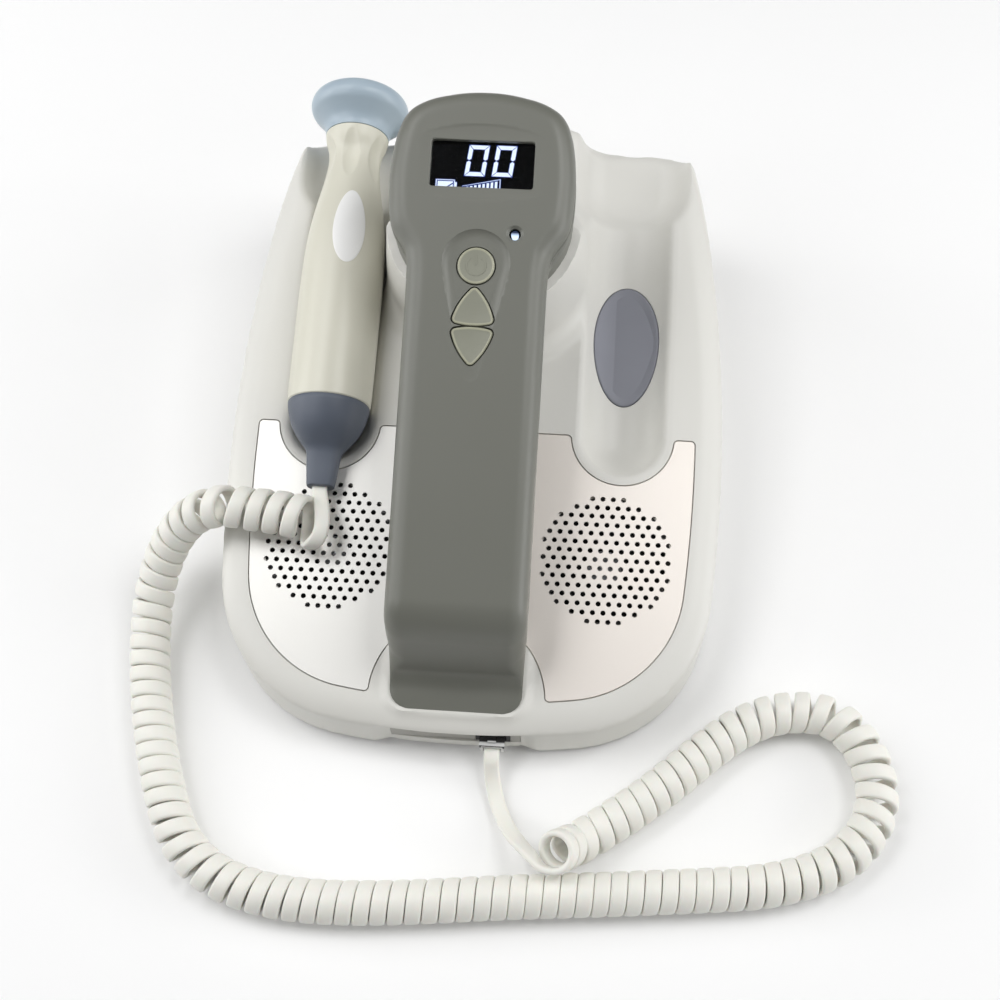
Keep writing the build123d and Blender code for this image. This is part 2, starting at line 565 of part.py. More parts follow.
def speaker(side):
    """Basket, cone and magnet of one loudspeaker, under its grille."""
    at = plate_at * Pos(side * SPEAKER_X, 0, flange_top)
    flange = Pos(0, 0, -SPEAKER_FLANGE / 2) * Cylinder(SPEAKER_FLANGE_R, SPEAKER_FLANGE)
    basket = Pos(0, 0, -SPEAKER_DEPTH / 2) * Cone(MAGNET_R + 2, SPEAKER_FLANGE_R - 3, SPEAKER_DEPTH)
    inside = Pos(0, 0, -SPEAKER_DEPTH / 2 + 1) * Cone(MAGNET_R + 0.5, SPEAKER_FLANGE_R - 4.5, SPEAKER_DEPTH)
    coil_hole = Cylinder(8, REACH)
    frame = flange + basket - inside - coil_hole
    cone_low = -SPEAKER_DEPTH + 3
    cone = Pos(0, 0, cone_low / 2) * (Cone(7.0, SPEAKER_FLANGE_R - 6.0, -cone_low)
                                      - Pos(0, 0, 0.5) * Cone(6.6, SPEAKER_FLANGE_R - 6.4, -cone_low))
    dust_cap = Pos(0, 0, cone_low + 0.5) * (Sphere(9) & Pos(0, 0, 9) * Box(40, 40, 10))
    voice_coil = Pos(0, 0, cone_low - 1.4) * Cylinder(7.0, 3.0)
    magnet = Pos(0, 0, -SPEAKER_DEPTH - MAGNET_THICK / 2) * Cylinder(MAGNET_R, MAGNET_THICK)
    return at * frame, at * solid_of(cone + dust_cap + voice_coil), at * magnet


# ======================= pads =======================
def pad(side, grow=0.0, proud=PAD_PROUD):
    """A thin oval rubber pad, bent to the trough's floor and let into it; grown, it is its bed."""
    outer_r = TROUGH_R - PAD_PROUD + PAD_THICK
    ring = Rot(90, 0, 0) * (Cylinder(outer_r, 3 * PAD_HALF_LENGTH)
                            - Cylinder(TROUGH_R - proud, 4 * PAD_HALF_LENGTH))
    oval = extrude(Ellipse(PAD_HALF_WIDTH + grow, PAD_HALF_LENGTH + grow), -30)
    return plate_at * Pos(side * TROUGH_X, PAD_V, TROUGH_AXIS) * solid_of(ring & oval)


pads = {side: pad(side) for side in (-1, 1)}
pad_beds = [pad(side, 0.15, 3 * PAD_PROUD) for side in (-1, 1)]
top_cover = solid_of(top_cover - pad_beds)

# ======================= front connectors =======================
panel_y = recess_y + PANEL_SET_BACK
panel = Pos(0, panel_y + PANEL_THICK / 2, (SLOT_LOW + SLOT_HIGH) / 2) * Box(
    2 * SLOT_HALF - 0.4, PANEL_THICK, SLOT_HIGH - SLOT_LOW - 0.4)
board_top = floor_z + BOARD_GAP + MAIN_BOARD_THICK
jack_height = JACK_HIGH - board_top
jack_mid_z = board_top + jack_height / 2
jack_box = Pos(JACK_X, panel_y + JACK_DEPTH / 2, jack_mid_z) * Box(JACK_WIDTH, JACK_DEPTH, jack_height)
socket = Pos(JACK_X, panel_y, PLUG_Z) * Box(PLUG_WIDTH + 0.6, 2 * (PLUG_LENGTH - PLUG_OUT + 0.6),
                                            PLUG_HEIGHT + 0.6)
latch_way = Pos(JACK_X, panel_y, PLUG_Z + PLUG_HEIGHT / 2) * Box(5.0, 2 * (PLUG_LENGTH - PLUG_OUT + 0.6), 3.0)
jack = jack_box - socket - latch_way
jack_window = Pos(JACK_X, panel_y, jack_mid_z) * Box(JACK_WIDTH + 0.4, 20, jack_height + 0.4)
slits = [Pos(x, panel_y, 13.6) * Box(width, 20, 1.0) for x, width in ((-12.0, 10.4), (1.4, 6.0))]
panel = panel - jack_window - slits

main_board = Pos(0, board_front + board_length / 2, floor_z + BOARD_GAP + MAIN_BOARD_THICK / 2) * Box(
    2 * MAIN_BOARD_HALF, board_length, MAIN_BOARD_THICK)
chip_sizes = ((-18, -60, 14, 14, 1.6), (10, -62, 20, 12, 2.2), (-20, -30, 10, 16, 3.0), (14, -28, 12, 12, 5.0),
              (-8, -90, 12, 10, 1.8), (0, -12, 22, 6, 4.0))
chips = [Pos(x, y, board_top + high / 2) * Box(wide, deep, high) for x, y, wide, deep, high in chip_sizes]

# ======================= plug =======================
plug_front = panel_y + PLUG_LENGTH - PLUG_OUT
plug_rear = panel_y - PLUG_OUT
plug_mid = (plug_front + plug_rear) / 2
plug_box = Pos(JACK_X, plug_mid, PLUG_Z) * Box(PLUG_WIDTH, PLUG_LENGTH, PLUG_HEIGHT)
cord_way = Pos(JACK_X, plug_rear, PLUG_Z - 0.8) * Box(7.0, 8.0, 2.8)
contact_pitch = 1.02
contact_slots = [Pos(JACK_X + (i - 2.5) * contact_pitch, plug_front - 3.2, PLUG_Z - PLUG_HEIGHT / 2)
                 * Box(0.5, 6.0, 4.0) for i in range(6)]
latch_side = [(plug_front - 0.5, PLUG_Z + PLUG_HEIGHT / 2), (plug_front - 1.5, PLUG_Z + PLUG_HEIGHT / 2),
              (plug_rear + 1.0, PLUG_Z + PLUG_HEIGHT / 2 + 1.7), (plug_rear + 1.0, PLUG_Z + PLUG_HEIGHT / 2 + 1.0),
              (plug_front - 2.5, PLUG_Z + PLUG_HEIGHT / 2 - 0.3), (plug_front - 0.5, PLUG_Z + PLUG_HEIGHT / 2 - 0.3)]
latch = Pos(JACK_X - 1.6, 0, 0) * extrude(Plane.YZ * ring_of(latch_side), 3.2)
plug = solid_of(plug_box - cord_way - contact_slots + latch)
contacts = [Pos(JACK_X + (i - 2.5) * contact_pitch, plug_front - 3.2, PLUG_Z - PLUG_HEIGHT / 2 + 1.0)
            * Box(0.4, 5.8, 1.8) for i in range(6)]


# ======================= handle =======================
def handle_plan(inset=0.0):
    """Plan of the handle in its own frame: a straight bar that widens into the head."""
    side = [(BAR_HALF, -REACH / 4), (BAR_HALF, NECK_L), (HEAD_FRONT_HALF, HEAD_FRONT_L),
            (HEAD_HALF, HEAD_MIDDLE_L), (HEAD_REAR_HALF, HEAD_CORNER_L)]
    mirrored = [(-x, y) for x, y in side]
    edges = Line(mirrored[0], side[0]) + Line(side[0], side[1]) + Line(side[1], side[2])
    edges += ThreePointArc(side[2], side[3], side[4])
    edges += ThreePointArc(side[4], (0, HEAD_REAR_L), mirrored[4])
    edges += ThreePointArc(mirrored[4], mirrored[3], mirrored[2])
    edges += Line(mirrored[2], mirrored[1]) + Line(mirrored[1], mirrored[0])
    plan = make_face(edges)
    plan = fillet(corners_near(plan, side[1], mirrored[1]), NECK_ROUND)
    plan = fillet(corners_near(plan, side[2], mirrored[2]), SHOULDER_ROUND)
    plan = fillet(corners_near(plan, side[4], mirrored[4]), HEAD_ROUND)
    if inset:
        plan = offset(plan, -inset)
    return plan


def top_level(v):
    """Height of the handle's top face above the grille plane."""
    return HANDLE_H + (v - HANDLE_V) * tan(radians(HANDLE_TILT))


def handle_profile(inset=0.0):
    """Side view of the handle in the plate frame: bar, front bend and leg."""
    drop = BAR_THICK / cos(radians(HANDLE_TILT))
    far = HEAD_REAR_L + 20
    bend = (BEND_V, top_level(BEND_V))
    rear_leg = (LEG_REAR_HIGH_V, top_level(LEG_REAR_HIGH_V) - drop)
    points = [(far, top_level(far)), bend, (SHIN_V, 0), (LEG_REAR_LOW_V, 0), rear_leg,
              (far, top_level(far) - drop)]
    face = ring_of(points)
    face = fillet(corners_near(face, bend), BEND_ROUND)
    face = fillet(corners_near(face, rear_leg), LEG_REAR_ROUND)
    if inset:
        face = offset(face, -inset)
    return face


def handle_block(inset=0.0):
    """The handle as a solid block, moved in from its surface by inset."""
    side = plate_at * (Plane.YZ * handle_profile(inset))
    body = extrude(side, REACH / 4, dir=(1, 0, 0), both=True)
    plan = handle_at * extrude(handle_plan(inset), REACH / 4, both=True)
    body = body & plan
    local = handle_at.inverse()
    upper = [e for e in body.edges()
             if abs(abs((local * e).center().Z) - inset) < 0.05
             and (local * e).bounding_box().size.Z < 0.05]
    return body, upper


outer, upper_edges = handle_block()
outer = fillet(upper_edges, HANDLE_ROUND)
inner, inner_edges = handle_block(HANDLE_SHELL)
inner = fillet(inner_edges, HANDLE_ROUND - HANDLE_SHELL)
foot_low = Pos(0, (FOOT_FRONT_V + LEG_REAR_LOW_V) / 2, 0) * RectangleRounded(
    2 * FOOT_HALF, LEG_REAR_LOW_V - FOOT_FRONT_V, FOOT_ROUND)
foot_high = Pos(0, (SHIN_V + 3 + LEG_REAR_LOW_V) / 2, FOOT_FLARE) * RectangleRounded(
    2 * FOOT_HALF - 2, LEG_REAR_LOW_V - SHIN_V - 3, FOOT_ROUND - 1)
foot = plate_at * loft([foot_low, foot_high])
collar_top = REACH / 8
collar_length = collar_top - PEDESTAL_HEIGHT
underside = handle_at * Pos(0, 0, -BAR_THICK + HANDLE_SHELL / 2 - REACH / 2) * Box(REACH, REACH, REACH)
collar_at = plate_at * Pos(0, PEDESTAL_V, PEDESTAL_HEIGHT + 30)
collar = (collar_at * Cylinder(COLLAR_R, 60)) & underside
collar_hollow = (collar_at * Cylinder(COLLAR_R - HANDLE_SHELL, 60)) & underside
cable_way = plate_at * Pos(0, PEDESTAL_V, 50) * Cylinder(CABLE_HOLE_R, 24)
leg_hollow = inner & (plate_at * Pos(0, 0, REACH / 2 + 2.5) * Box(REACH, REACH, REACH))
shell = outer + foot + (collar - collar_hollow) - leg_hollow - cable_way

part_drop = HANDLE_PARTING / cos(radians(HANDLE_TILT))
leg_part_v = (SHIN_V + LEG_REAR_LOW_V) / 2 + 4
far_v = HEAD_REAR_L + 20
lower_points = [(far_v, top_level(far_v) - part_drop), (LEG_REAR_HIGH_V, top_level(LEG_REAR_HIGH_V) - part_drop),
                (leg_part_v, top_level(leg_part_v) - part_drop - 6), (leg_part_v, -5), (far_v, -5)]
lower_region = extrude(plate_at * (Plane.YZ * ring_of(lower_points)), REACH / 4, dir=(1, 0, 0), both=True)
handle_bottom = solid_of(shell & lower_region)
handle_top = solid_of(shell - lower_region)


# ---- openings and keys ----
def triangle(apex_l, base_l, grow=0.0):
    """A rounded triangle with bulging sides, as the up and down keys have."""
    apex = (0, apex_l)
    left = (-KEY_HALF, base_l)
    right = (KEY_HALF, base_l)
    sign = 1 if apex_l > base_l else -1
    inward = (apex_l - base_l) / 2
    mid_right = (KEY_HALF / 2 + KEY_BULGE, base_l + inward + sign * KEY_BULGE / 2)
    mid_left = (-mid_right[0], mid_right[1])
    middles = [(0, base_l - sign * KEY_BULGE), mid_right, mid_left]
    return bowed_outline([left, right, apex], middles, [KEY_CORNER] * 3, -grow)


key_plans = {
    "power": lambda grow: Pos(0, POWER_L, 0) * Circle(POWER_R + grow),
    "up": lambda grow: triangle(UP_APEX_L, UP_BASE_L, grow),
    "down": lambda grow: triangle(DOWN_APEX_L, DOWN_BASE_L, grow),
}
key_centres = {"power": POWER_L, "up": UP_BASE_L + 4.6, "down": DOWN_BASE_L - 4.6}
key_top = -SCOOP_DEPTH + KEY_PROUD
switch_top = -BOARD_DEPTH + SWITCH_THICK
key_low = switch_top + KEY_TRAVEL + 0.1


def key(name):
    """A moulded key cap with a retaining flange under the handle's wall."""
    cap = Pos(0, 0, key_low) * extrude(key_plans[name](0), key_top - key_low)
    flange = Pos(0, 0, -HANDLE_SHELL - CLEAR - 0.8) * extrude(key_plans[name](0.5), 0.8)
    return handle_at * (cap + flange)


scoop_outline = make_hull((Pos(0, SCOOP_L, 0) * Circle(SCOOP_R)).edges()
                          + (Pos(0, SCOOP_END_L, 0) * Circle(SCOOP_END_R)).edges())
scoop = handle_at * Pos(0, 0, -SCOOP_DEPTH) * extrude(scoop_outline, 5)
window_cut = handle_at * Pos(0, WINDOW_L, 0) * extrude(
    RectangleRounded(WINDOW_WIDTH, WINDOW_LENGTH, WINDOW_CORNER), 5, both=True)
lamp_cut = handle_at * Pos(LAMP_X, LAMP_L, 0) * Cylinder(LAMP_HOLE_R, 10)
key_cuts = [handle_at * extrude(key_plans[name](KEY_GAP), 5, both=True) for name in key_plans]
handle_top = solid_of(handle_top - scoop - window_cut - lamp_cut - key_cuts)
keys = {name: key(name) for name in key_plans}

lens = handle_at * Pos(0, WINDOW_L, -HANDLE_SHELL - LENS_THICK / 2) * Box(
    WINDOW_WIDTH + 2 * LENS_LAP, WINDOW_LENGTH + 2 * LENS_LAP, LENS_THICK)
lcd_top = -HANDLE_SHELL - LENS_THICK - CLEAR
lcd = handle_at * Pos(0, WINDOW_L, lcd_top - LCD_THICK / 2) * Box(LCD_WIDTH, LCD_LENGTH, LCD_THICK)
board_head_l = WINDOW_L - 4.6
board_bar_rear = board_head_l - BOARD_HEAD_LENGTH / 2 + 1.5
board_bar_front = DOWN_APEX_L - 3.6
board_head = Pos(0, board_head_l, 0) * Box(BOARD_HEAD_WIDTH, BOARD_HEAD_LENGTH, BOARD_THICK)
board_bar = Pos(0, (board_bar_rear + board_bar_front) / 2, 0) * Box(
    BOARD_BAR_WIDTH, board_bar_rear - board_bar_front, BOARD_THICK)
board_socket = Pos(0, RIBBON_L, -BOARD_THICK / 2 - 0.6) * Box(2 * RIBBON_HALF + 4.0, 4.0, 1.2)
display_board = handle_at * Pos(0, 0, -BOARD_DEPTH - BOARD_THICK / 2) * (board_head + board_bar + board_socket)
posts = [Pos(x, y, -BAR_THICK + HANDLE_SHELL) * Cylinder(
    2.5, BAR_THICK - HANDLE_SHELL - BOARD_DEPTH - BOARD_THICK, align=(Align.CENTER, Align.CENTER, Align.MIN))
    for x, y in ((-BAR_POST_X, board_bar_front + 5), (BAR_POST_X, board_bar_front + 5),
                 (-POST_X, WINDOW_L + POST_REAR), (POST_X, WINDOW_L + POST_REAR))]
handle_bottom = handle_bottom + [handle_at * p for p in posts]
switches = [handle_at * Pos(0, key_centres[n], -BOARD_DEPTH + SWITCH_THICK / 2)
            * Box(SWITCH_SIZE, SWITCH_SIZE, SWITCH_THICK) for n in key_plans]
light_pipe = handle_at * Pos(LAMP_X, LAMP_L, -LAMP_SET_BACK) * Cylinder(
    LAMP_R, BOARD_DEPTH - LAMP_SET_BACK - 1.2, align=(Align.CENTER, Align.CENTER, Align.MAX))
lamp = handle_at * Pos(LAMP_X, LAMP_L, -BOARD_DEPTH + 0.5) * Box(2.4, 1.8, 1.0)

# screws that hold the handle: through the pedestal's top and through the island under the foot
handle_screw_places = [(-24, PEDESTAL_V, PEDESTAL_HEIGHT - SHELL), (24, PEDESTAL_V, PEDESTAL_HEIGHT - SHELL),
                       (-15, -45, -SHELL), (15, -45, -SHELL)]
handle_screws = []
screw_ways = []
screw_posts = []
for x, v, level in handle_screw_places:
    at = plate_at * Pos(x, v, level)
    handle_screws.append(at * (Pos(0, 0, -SCREW_HEAD / 2) * Cylinder(SCREW_HEAD_R, SCREW_HEAD)
                               + Pos(0, 0, 4) * Cylinder(SCREW_R, 8)))
    screw_ways.append(at * Pos(0, 0, 4) * Cylinder(SCREW_BORE_R, 9))
    if level > 0:
        screw_posts.append(at * Pos(0, 0, SHELL + 3.5) * Cylinder(4, 7))
top_cover = solid_of(top_cover - screw_ways)
handle_bottom = solid_of(handle_bottom + screw_posts - screw_ways)
handle_top = solid_of(handle_top - screw_ways)

# ribbon from the display board through the pedestal to the main board
def world_point(v, h):
    """Y and Z in the world of a point of the plate frame's middle plane."""
    p = plate_at * Pos(0, v, h)
    return p.position.Y, p.position.Z


ribbon_start = handle_at * Pos(0, RIBBON_L, -BOARD_DEPTH - BOARD_THICK - 1.6)
ribbon_path = [(ribbon_start.position.Y, ribbon_start.position.Z),
               world_point(PEDESTAL_V - 1, PEDESTAL_HEIGHT),
               (world_point(PEDESTAL_V - 3, PEDESTAL_HEIGHT - 30)[0], 36.0),
               (BATTERY_Y - 34.0, 33.0), (BATTERY_Y - 34.0, 20.0), (-12.0, board_top + 4.5)]
ribbon_line = FilletPolyline(*ribbon_path, radius=3)
ribbon = extrude(Plane.YZ * trace(ribbon_line, RIBBON_THICK), RIBBON_HALF, both=True)

# ======================= cord =======================
def over_plate(x, v):
    """A world point of the curly cord's axis where the cord lies on the grille."""
    p = plate_at * Pos(x, v, COIL_R + 0.4)
    return (p.position.X, p.position.Y, p.position.Z)


table = COIL_R
coil_route = [over_plate(-58.2, 20.4), over_plate(-57.2, 12.2), over_plate(-62.8, 5.9),
              over_plate(-72.0, 6.1), over_plate(-83.0, 8.2), (-95.5, -53.3, 49.6),
              (-108.5, -54.2, 42.0), (-119.6, -61.2, 28.4), (-126.0, -76.5, 14.6), (-125.0, -96.0, 9.4),
              (-121.2, -116.0, table), (-115.2, -136.5, table), (-108.2, -155.5, table),
              (-100.0, -172.5, table), (-86.0, -184.5, table), (-66.0, -190.5, table),
              (-42.0, -191.8, table), (-12.0, -189.6, table), (22.0, -185.4, table),
              (58.0, -182.0, table), (92.0, -178.4, table), (120.0, -175.0, table),
              (142.0, -167.0, table), (155.5, -154.0, table), (160.5, -138.0, table),
              (156.0, -120.5, table), (144.5, -108.6, table), (128.5, -107.6, table),
              (113.0, -112.6, table), (98.0, -123.6, table), (80.0, -140.6, table),
              (62.5, -154.4, table), (49.6, -163.9, table), (40.4, -166.9, table)]
plug_lead_route = [(JACK_X, plug_rear, PLUG_Z - 0.8), (JACK_X, plug_rear - 4.6, PLUG_Z - 0.8),
                   (JACK_X + 0.3, plug_rear - 9.6, 6.6), (JACK_X + 1.9, plug_rear - 16.2, 2.8),
                   (JACK_X + 5.6, plug_rear - 23.8, LEAD_R), (JACK_X + 11.2, plug_rear - 30.4, LEAD_R),
                   (JACK_X + 18.2, plug_rear - 34.2, LEAD_R), (39.1, -167.6, LEAD_R + 0.2)]


def cord_radii(route):
    """Bend radius at each inner point: as large as its two runs allow."""
    radii = []
    for a, b, c in zip(route, route[1:], route[2:]):
        before = Vector(*b) - Vector(*a)
        after = Vector(*c) - Vector(*b)
        turn = before.get_angle(after)
        radii.append(0.45 * min(before.length, after.length) / tan(radians(turn) / 2))
    return radii


def cord_tube(name, route, radius):
    """A round tube along straight runs joined by tangent arcs."""
    radii = cord_radii(route)
    path = FilletPolyline(*route, radius=radii)
    first = Vector(*route[1]) - Vector(*route[0])
    section = Plane(origin=route[0], z_dir=first) * Circle(radius)
    tube = sweep(section, path=path)
    expected = 3.14159265 * radius ** 2 * path.length
    print(f"{name}: length {path.length:.1f}, volume ratio {tube.volume / expected:.4f}, "
          f"radii {[round(r, 1) for r in radii]}")
    return tube


curly_cord = cord_tube("curly_cord", coil_route, COIL_R)
plug_lead = cord_tube("plug_lead", plug_lead_route, LEAD_R)

# ======================= nodes =======================
left_speaker = speaker(-1)
right_speaker = speaker(1)
nodes = {
    "base_top_cover": top_cover,
    "base_bottom_cover": bottom_cover,
    "battery_door": battery_door,
    "battery_pack": battery_pack,
    "base_screws": group(screws),
    "rubber_feet": group(feet),
    "grille_plate_left": grille(-1),
    "grille_plate_right": grille(1),
    "speaker_frame_left": left_speaker[0],
    "speaker_cone_left": left_speaker[1],
    "speaker_magnet_left": left_speaker[2],
    "speaker_frame_right": right_speaker[0],
    "speaker_cone_right": right_speaker[1],
    "speaker_magnet_right": right_speaker[2],
    "trough_pad_left": pads[-1],
    "trough_pad_right": pads[1],
    "connector_panel": panel,
    "probe_jack": jack,
    "main_board": main_board,
    "board_components": group(chips),
    "handle_top_cover": handle_top,
    "handle_bottom_cover": handle_bottom,
    "handle_screws": group(handle_screws),
    "display_lens": lens,
    "lcd_module": lcd,
    "display_board": display_board,
    "key_switches": group(switches),
    "light_pipe": light_pipe,
    "status_lamp": lamp,
    "ribbon_cable": ribbon,
    "power_button": keys["power"],
    "up_button": keys["up"],
    "down_button": keys["down"],
    "probe_cap": probe_at * probe_cap,
    "transducer_crystals": group([probe_at * s for s in crystals.solids()]),
    "probe_body": probe_at * probe_body,
    "probe_board": probe_at * probe_board,
    "probe_boot": probe_at * probe_boot,
    "probe_label": probe_at * probe_label,
    "curly_cord": curly_cord,
    "plug_lead": plug_lead,
    "cord_plug": plug,
    "plug_contacts": group(contacts),
}
for node, shape in nodes.items():
    shape.label = node
    export_step(shape, f"parts/{node}.step")
print(f"plate origin y {PLATE_Y:.3f}, front wall {front_y:.2f}, rear wall {rear_y:.2f}")
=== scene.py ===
import math

import bmesh
import bpy
import numpy as np
from mathutils import Matrix, Vector


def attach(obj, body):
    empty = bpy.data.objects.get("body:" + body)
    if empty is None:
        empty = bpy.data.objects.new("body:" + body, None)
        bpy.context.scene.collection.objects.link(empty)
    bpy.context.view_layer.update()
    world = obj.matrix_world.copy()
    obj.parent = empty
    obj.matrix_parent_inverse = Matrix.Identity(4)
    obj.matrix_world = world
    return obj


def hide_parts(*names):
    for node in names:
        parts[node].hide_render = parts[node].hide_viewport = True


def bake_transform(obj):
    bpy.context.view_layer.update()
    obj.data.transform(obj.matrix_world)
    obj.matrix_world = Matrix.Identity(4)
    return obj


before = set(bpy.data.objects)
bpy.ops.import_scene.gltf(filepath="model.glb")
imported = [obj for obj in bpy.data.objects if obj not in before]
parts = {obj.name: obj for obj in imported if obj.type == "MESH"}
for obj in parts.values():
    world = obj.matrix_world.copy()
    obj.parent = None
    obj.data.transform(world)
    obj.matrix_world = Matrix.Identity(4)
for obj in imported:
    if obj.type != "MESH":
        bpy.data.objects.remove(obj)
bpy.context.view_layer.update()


# ---------------------------------------------------------------- camera
# A short telephoto above and in front of the monitor, a little to its right, turned slightly.
def placed(name, data):
    """A new object at the origin."""
    made = bpy.data.objects.new(name, data)
    bpy.context.collection.objects.link(made)
    return made


camera_data = bpy.data.cameras.new("studio_camera")
camera_data.lens = 48.49
camera_data.clip_start = 0.01
camera = placed("studio_camera", camera_data)
camera.location = (0.03796, -0.28545, 0.50768)
camera.rotation_euler = [math.radians(a) for a in (27.854, 1.097, 4.099)]
bpy.context.scene.camera = camera

# ---------------------------------------------------------------- curly cord
# The probe's cord: a flat six-wire cable in a soft thermoplastic jacket, wound on a mandrel and heat
# set, so that it lies as a closed spring. It grows out of the probe's rubber boot and lies on the table.
CORD_WIDTH = 0.0059
CORD_THICK = 0.0025
COIL_PITCH = 0.0061
COIL_RADIUS = 0.0066    # of the wound cable's middle
SLOPE = math.radians(12)
SLOPE_SIN, SLOPE_COS = math.sin(SLOPE), math.cos(SLOPE)
PLATE_ORIGIN = Vector((0, -0.062054, 0.038))


def on_plate(x, up, over):
    """A point of the sloping grille plane's own frame, given in millimetres, in the world in metres."""
    return PLATE_ORIGIN + Vector((x, up * SLOPE_COS - over * SLOPE_SIN, up * SLOPE_SIN + over * SLOPE_COS)) / 1000


def plate_way(x, up, over):
    """A direction of the grille plane's frame, in the world."""
    return np.array(on_plate(x, up, over) - on_plate(0, 0, 0))


def unit(vectors):
    return vectors / np.linalg.norm(vectors, axis=-1, keepdims=True)


def smooth(t):
    """A share from 0 to 1 that starts and ends gently."""
    t = np.clip(t, 0, 1)
    return t * t * (3 - 2 * t)


def near(distance, reach):
    """1 at a place, falling evenly to 0 at reach from it."""
    return np.clip(1 - distance / reach, 0, 1)


def linear(hex_colour):
    """An sRGB hex colour as linear red, green, blue and alpha."""
    shares = [int(hex_colour[i:i + 2], 16) / 255 for i in (1, 3, 5)]
    return (*[c / 12.92 if c <= 0.04045 else ((c + 0.055) / 1.055) ** 2.4 for c in shares], 1.0)


def add_node(tree, kind, values=None, links=None, **settings):
    """One node with its settings, its sockets' values and the outputs that feed it."""
    made = tree.nodes.new(kind)
    for name, value in settings.items():
        setattr(made, name, value)
    for socket, value in (values or {}).items():
        made.inputs[socket].default_value = value
    for socket, source in (links or {}).items():
        tree.links.new(source, made.inputs[socket])
    return made


def start_material(name, **sockets):
    """A material with one Principled shader, whose constants sit on its own sockets."""
    material = bpy.data.materials.new(name)
    material.use_nodes = True
    tree = material.node_tree
    tree.nodes.clear()
    shader = add_node(tree, "ShaderNodeBsdfPrincipled",
                      {key.replace("_", " "): value for key, value in sockets.items()})
    add_node(tree, "ShaderNodeOutputMaterial", links={"Surface": shader.outputs["BSDF"]})
    return material, tree, shader


def own_place(tree):
    """The object's own coordinates."""
    return add_node(tree, "ShaderNodeTexCoord").outputs["Object"]


def noise(tree, spot_mm, detail, vector=None, **values):
    """A noise whose spots are about spot_mm wide, where no other vector is given."""
    vector = own_place(tree) if vector is None else vector
    return add_node(tree, "ShaderNodeTexNoise", {"Scale": 1000 / spot_mm, "Detail": detail, **values},
                    {"Vector": vector}).outputs["Fac"]


def mixed(tree, share, links=None, **tones):
    """Two colours mixed by a share; each is a hex tone, low or high, or comes through links."""
    values = {{"low": 6, "high": 7}[name]: linear(tone) for name, tone in tones.items()}
    return add_node(tree, "ShaderNodeMix", values, {0: share, **(links or {})}, data_type="RGBA").outputs[2]


def tint(tree, shader, share, low, high):
    """Two tones, mixed by a share, as the shader's base colour."""
    tree.links.new(mixed(tree, share, low=low, high=high), shader.inputs["Base Color"])


def spread(tree, source, low, high, start=0.0, end=1.0):
    """A value that runs from start to end, as one that runs from low to high."""
    return add_node(tree, "ShaderNodeMapRange", {"From Min": start, "From Max": end, "To Min": low, "To Max": high},
                    {"Value": source}).outputs["Result"]


def feed(tree, shader, socket, source, *span):
    """Lead a value, spread over a span, to one of the shader's sockets."""
    tree.links.new(spread(tree, source, *span), shader.inputs[socket])


def textured(tree, shader, grain, rough, strength, depth):
    """Let one noise set both the gloss and the relief."""
    feed(tree, shader, "Roughness", grain, *rough)
    relief = add_node(tree, "ShaderNodeBump", {"Strength": strength, "Distance": depth}, {"Height": grain})
    tree.links.new(relief.outputs["Normal"], shader.inputs["Normal"])


def moulded(name, light, dark, grain_mm, relief_mm, blotch_mm, rough, ior, **sockets):
    """A moulded plastic or rubber: two near tones in soft blotches, and the mould's grain as relief."""
    material, tree, shader = start_material(name, IOR=ior, **sockets)
    tint(tree, shader, noise(tree, blotch_mm, 3.0), dark, light)
    textured(tree, shader, noise(tree, grain_mm, 2.0, Roughness=0.55), rough, 0.6, relief_mm / 1000)
    return material


def spline_points(name, route, step):
    """Points, evenly spaced by about step, read from the smooth spline that the route controls."""
    curve = bpy.data.curves.new(name, "CURVE")
    curve.dimensions = "3D"
    spline = curve.splines.new("NURBS")
    spline.points.add(len(route) - 1)
    for point, place in zip(spline.points, route):
        point.co = (*place, 1)
    spline.order_u = 3
    spline.use_endpoint_u = True
    spline.resolution_u = 24
    drawn = placed(name, curve)
    read = bpy.data.meshes.new_from_object(drawn)
    points = np.array([v.co for v in read.vertices], float)
    bpy.data.objects.remove(drawn)
    bpy.data.meshes.remove(read)
    along = np.concatenate([[0], np.cumsum(np.linalg.norm(np.diff(points, axis=0), axis=1))])
    even = np.linspace(0, along[-1], int(along[-1] / step) + 1)
    return np.stack([np.interp(even, along, points[:, k]) for k in range(3)], 1), even


def outwards(made):
    """Turn all of a closed mesh's faces outwards."""
    solid = bmesh.new()
    solid.from_mesh(made.data)
    bmesh.ops.recalc_face_normals(solid, faces=solid.faces)
    solid.to_mesh(made.data)
    solid.free()
    return made


def closed_mesh(name, corners, faces, place=Matrix()):
    """A closed mesh in a frame that place brings into the world."""
    mesh = bpy.data.meshes.new(name)
    mesh.from_pydata(corners, [], faces)
    mesh.transform(place)
    return outwards(placed(name, mesh))


def rounded_box(width, length, r, at=(0, 0), steps=8):
    """Outline of a rectangle with round corners."""
    x, y = width / 2 - r, length / 2 - r
    return [(at[0] + cx + r * math.cos(math.radians(start + 90 * k / steps)),
             at[1] + cy + r * math.sin(math.radians(start + 90 * k / steps)))
            for cx, cy, start in ((x, y, 0), (-x, y, 90), (-x, -y, 180), (x, -y, 270)) for k in range(steps + 1)]


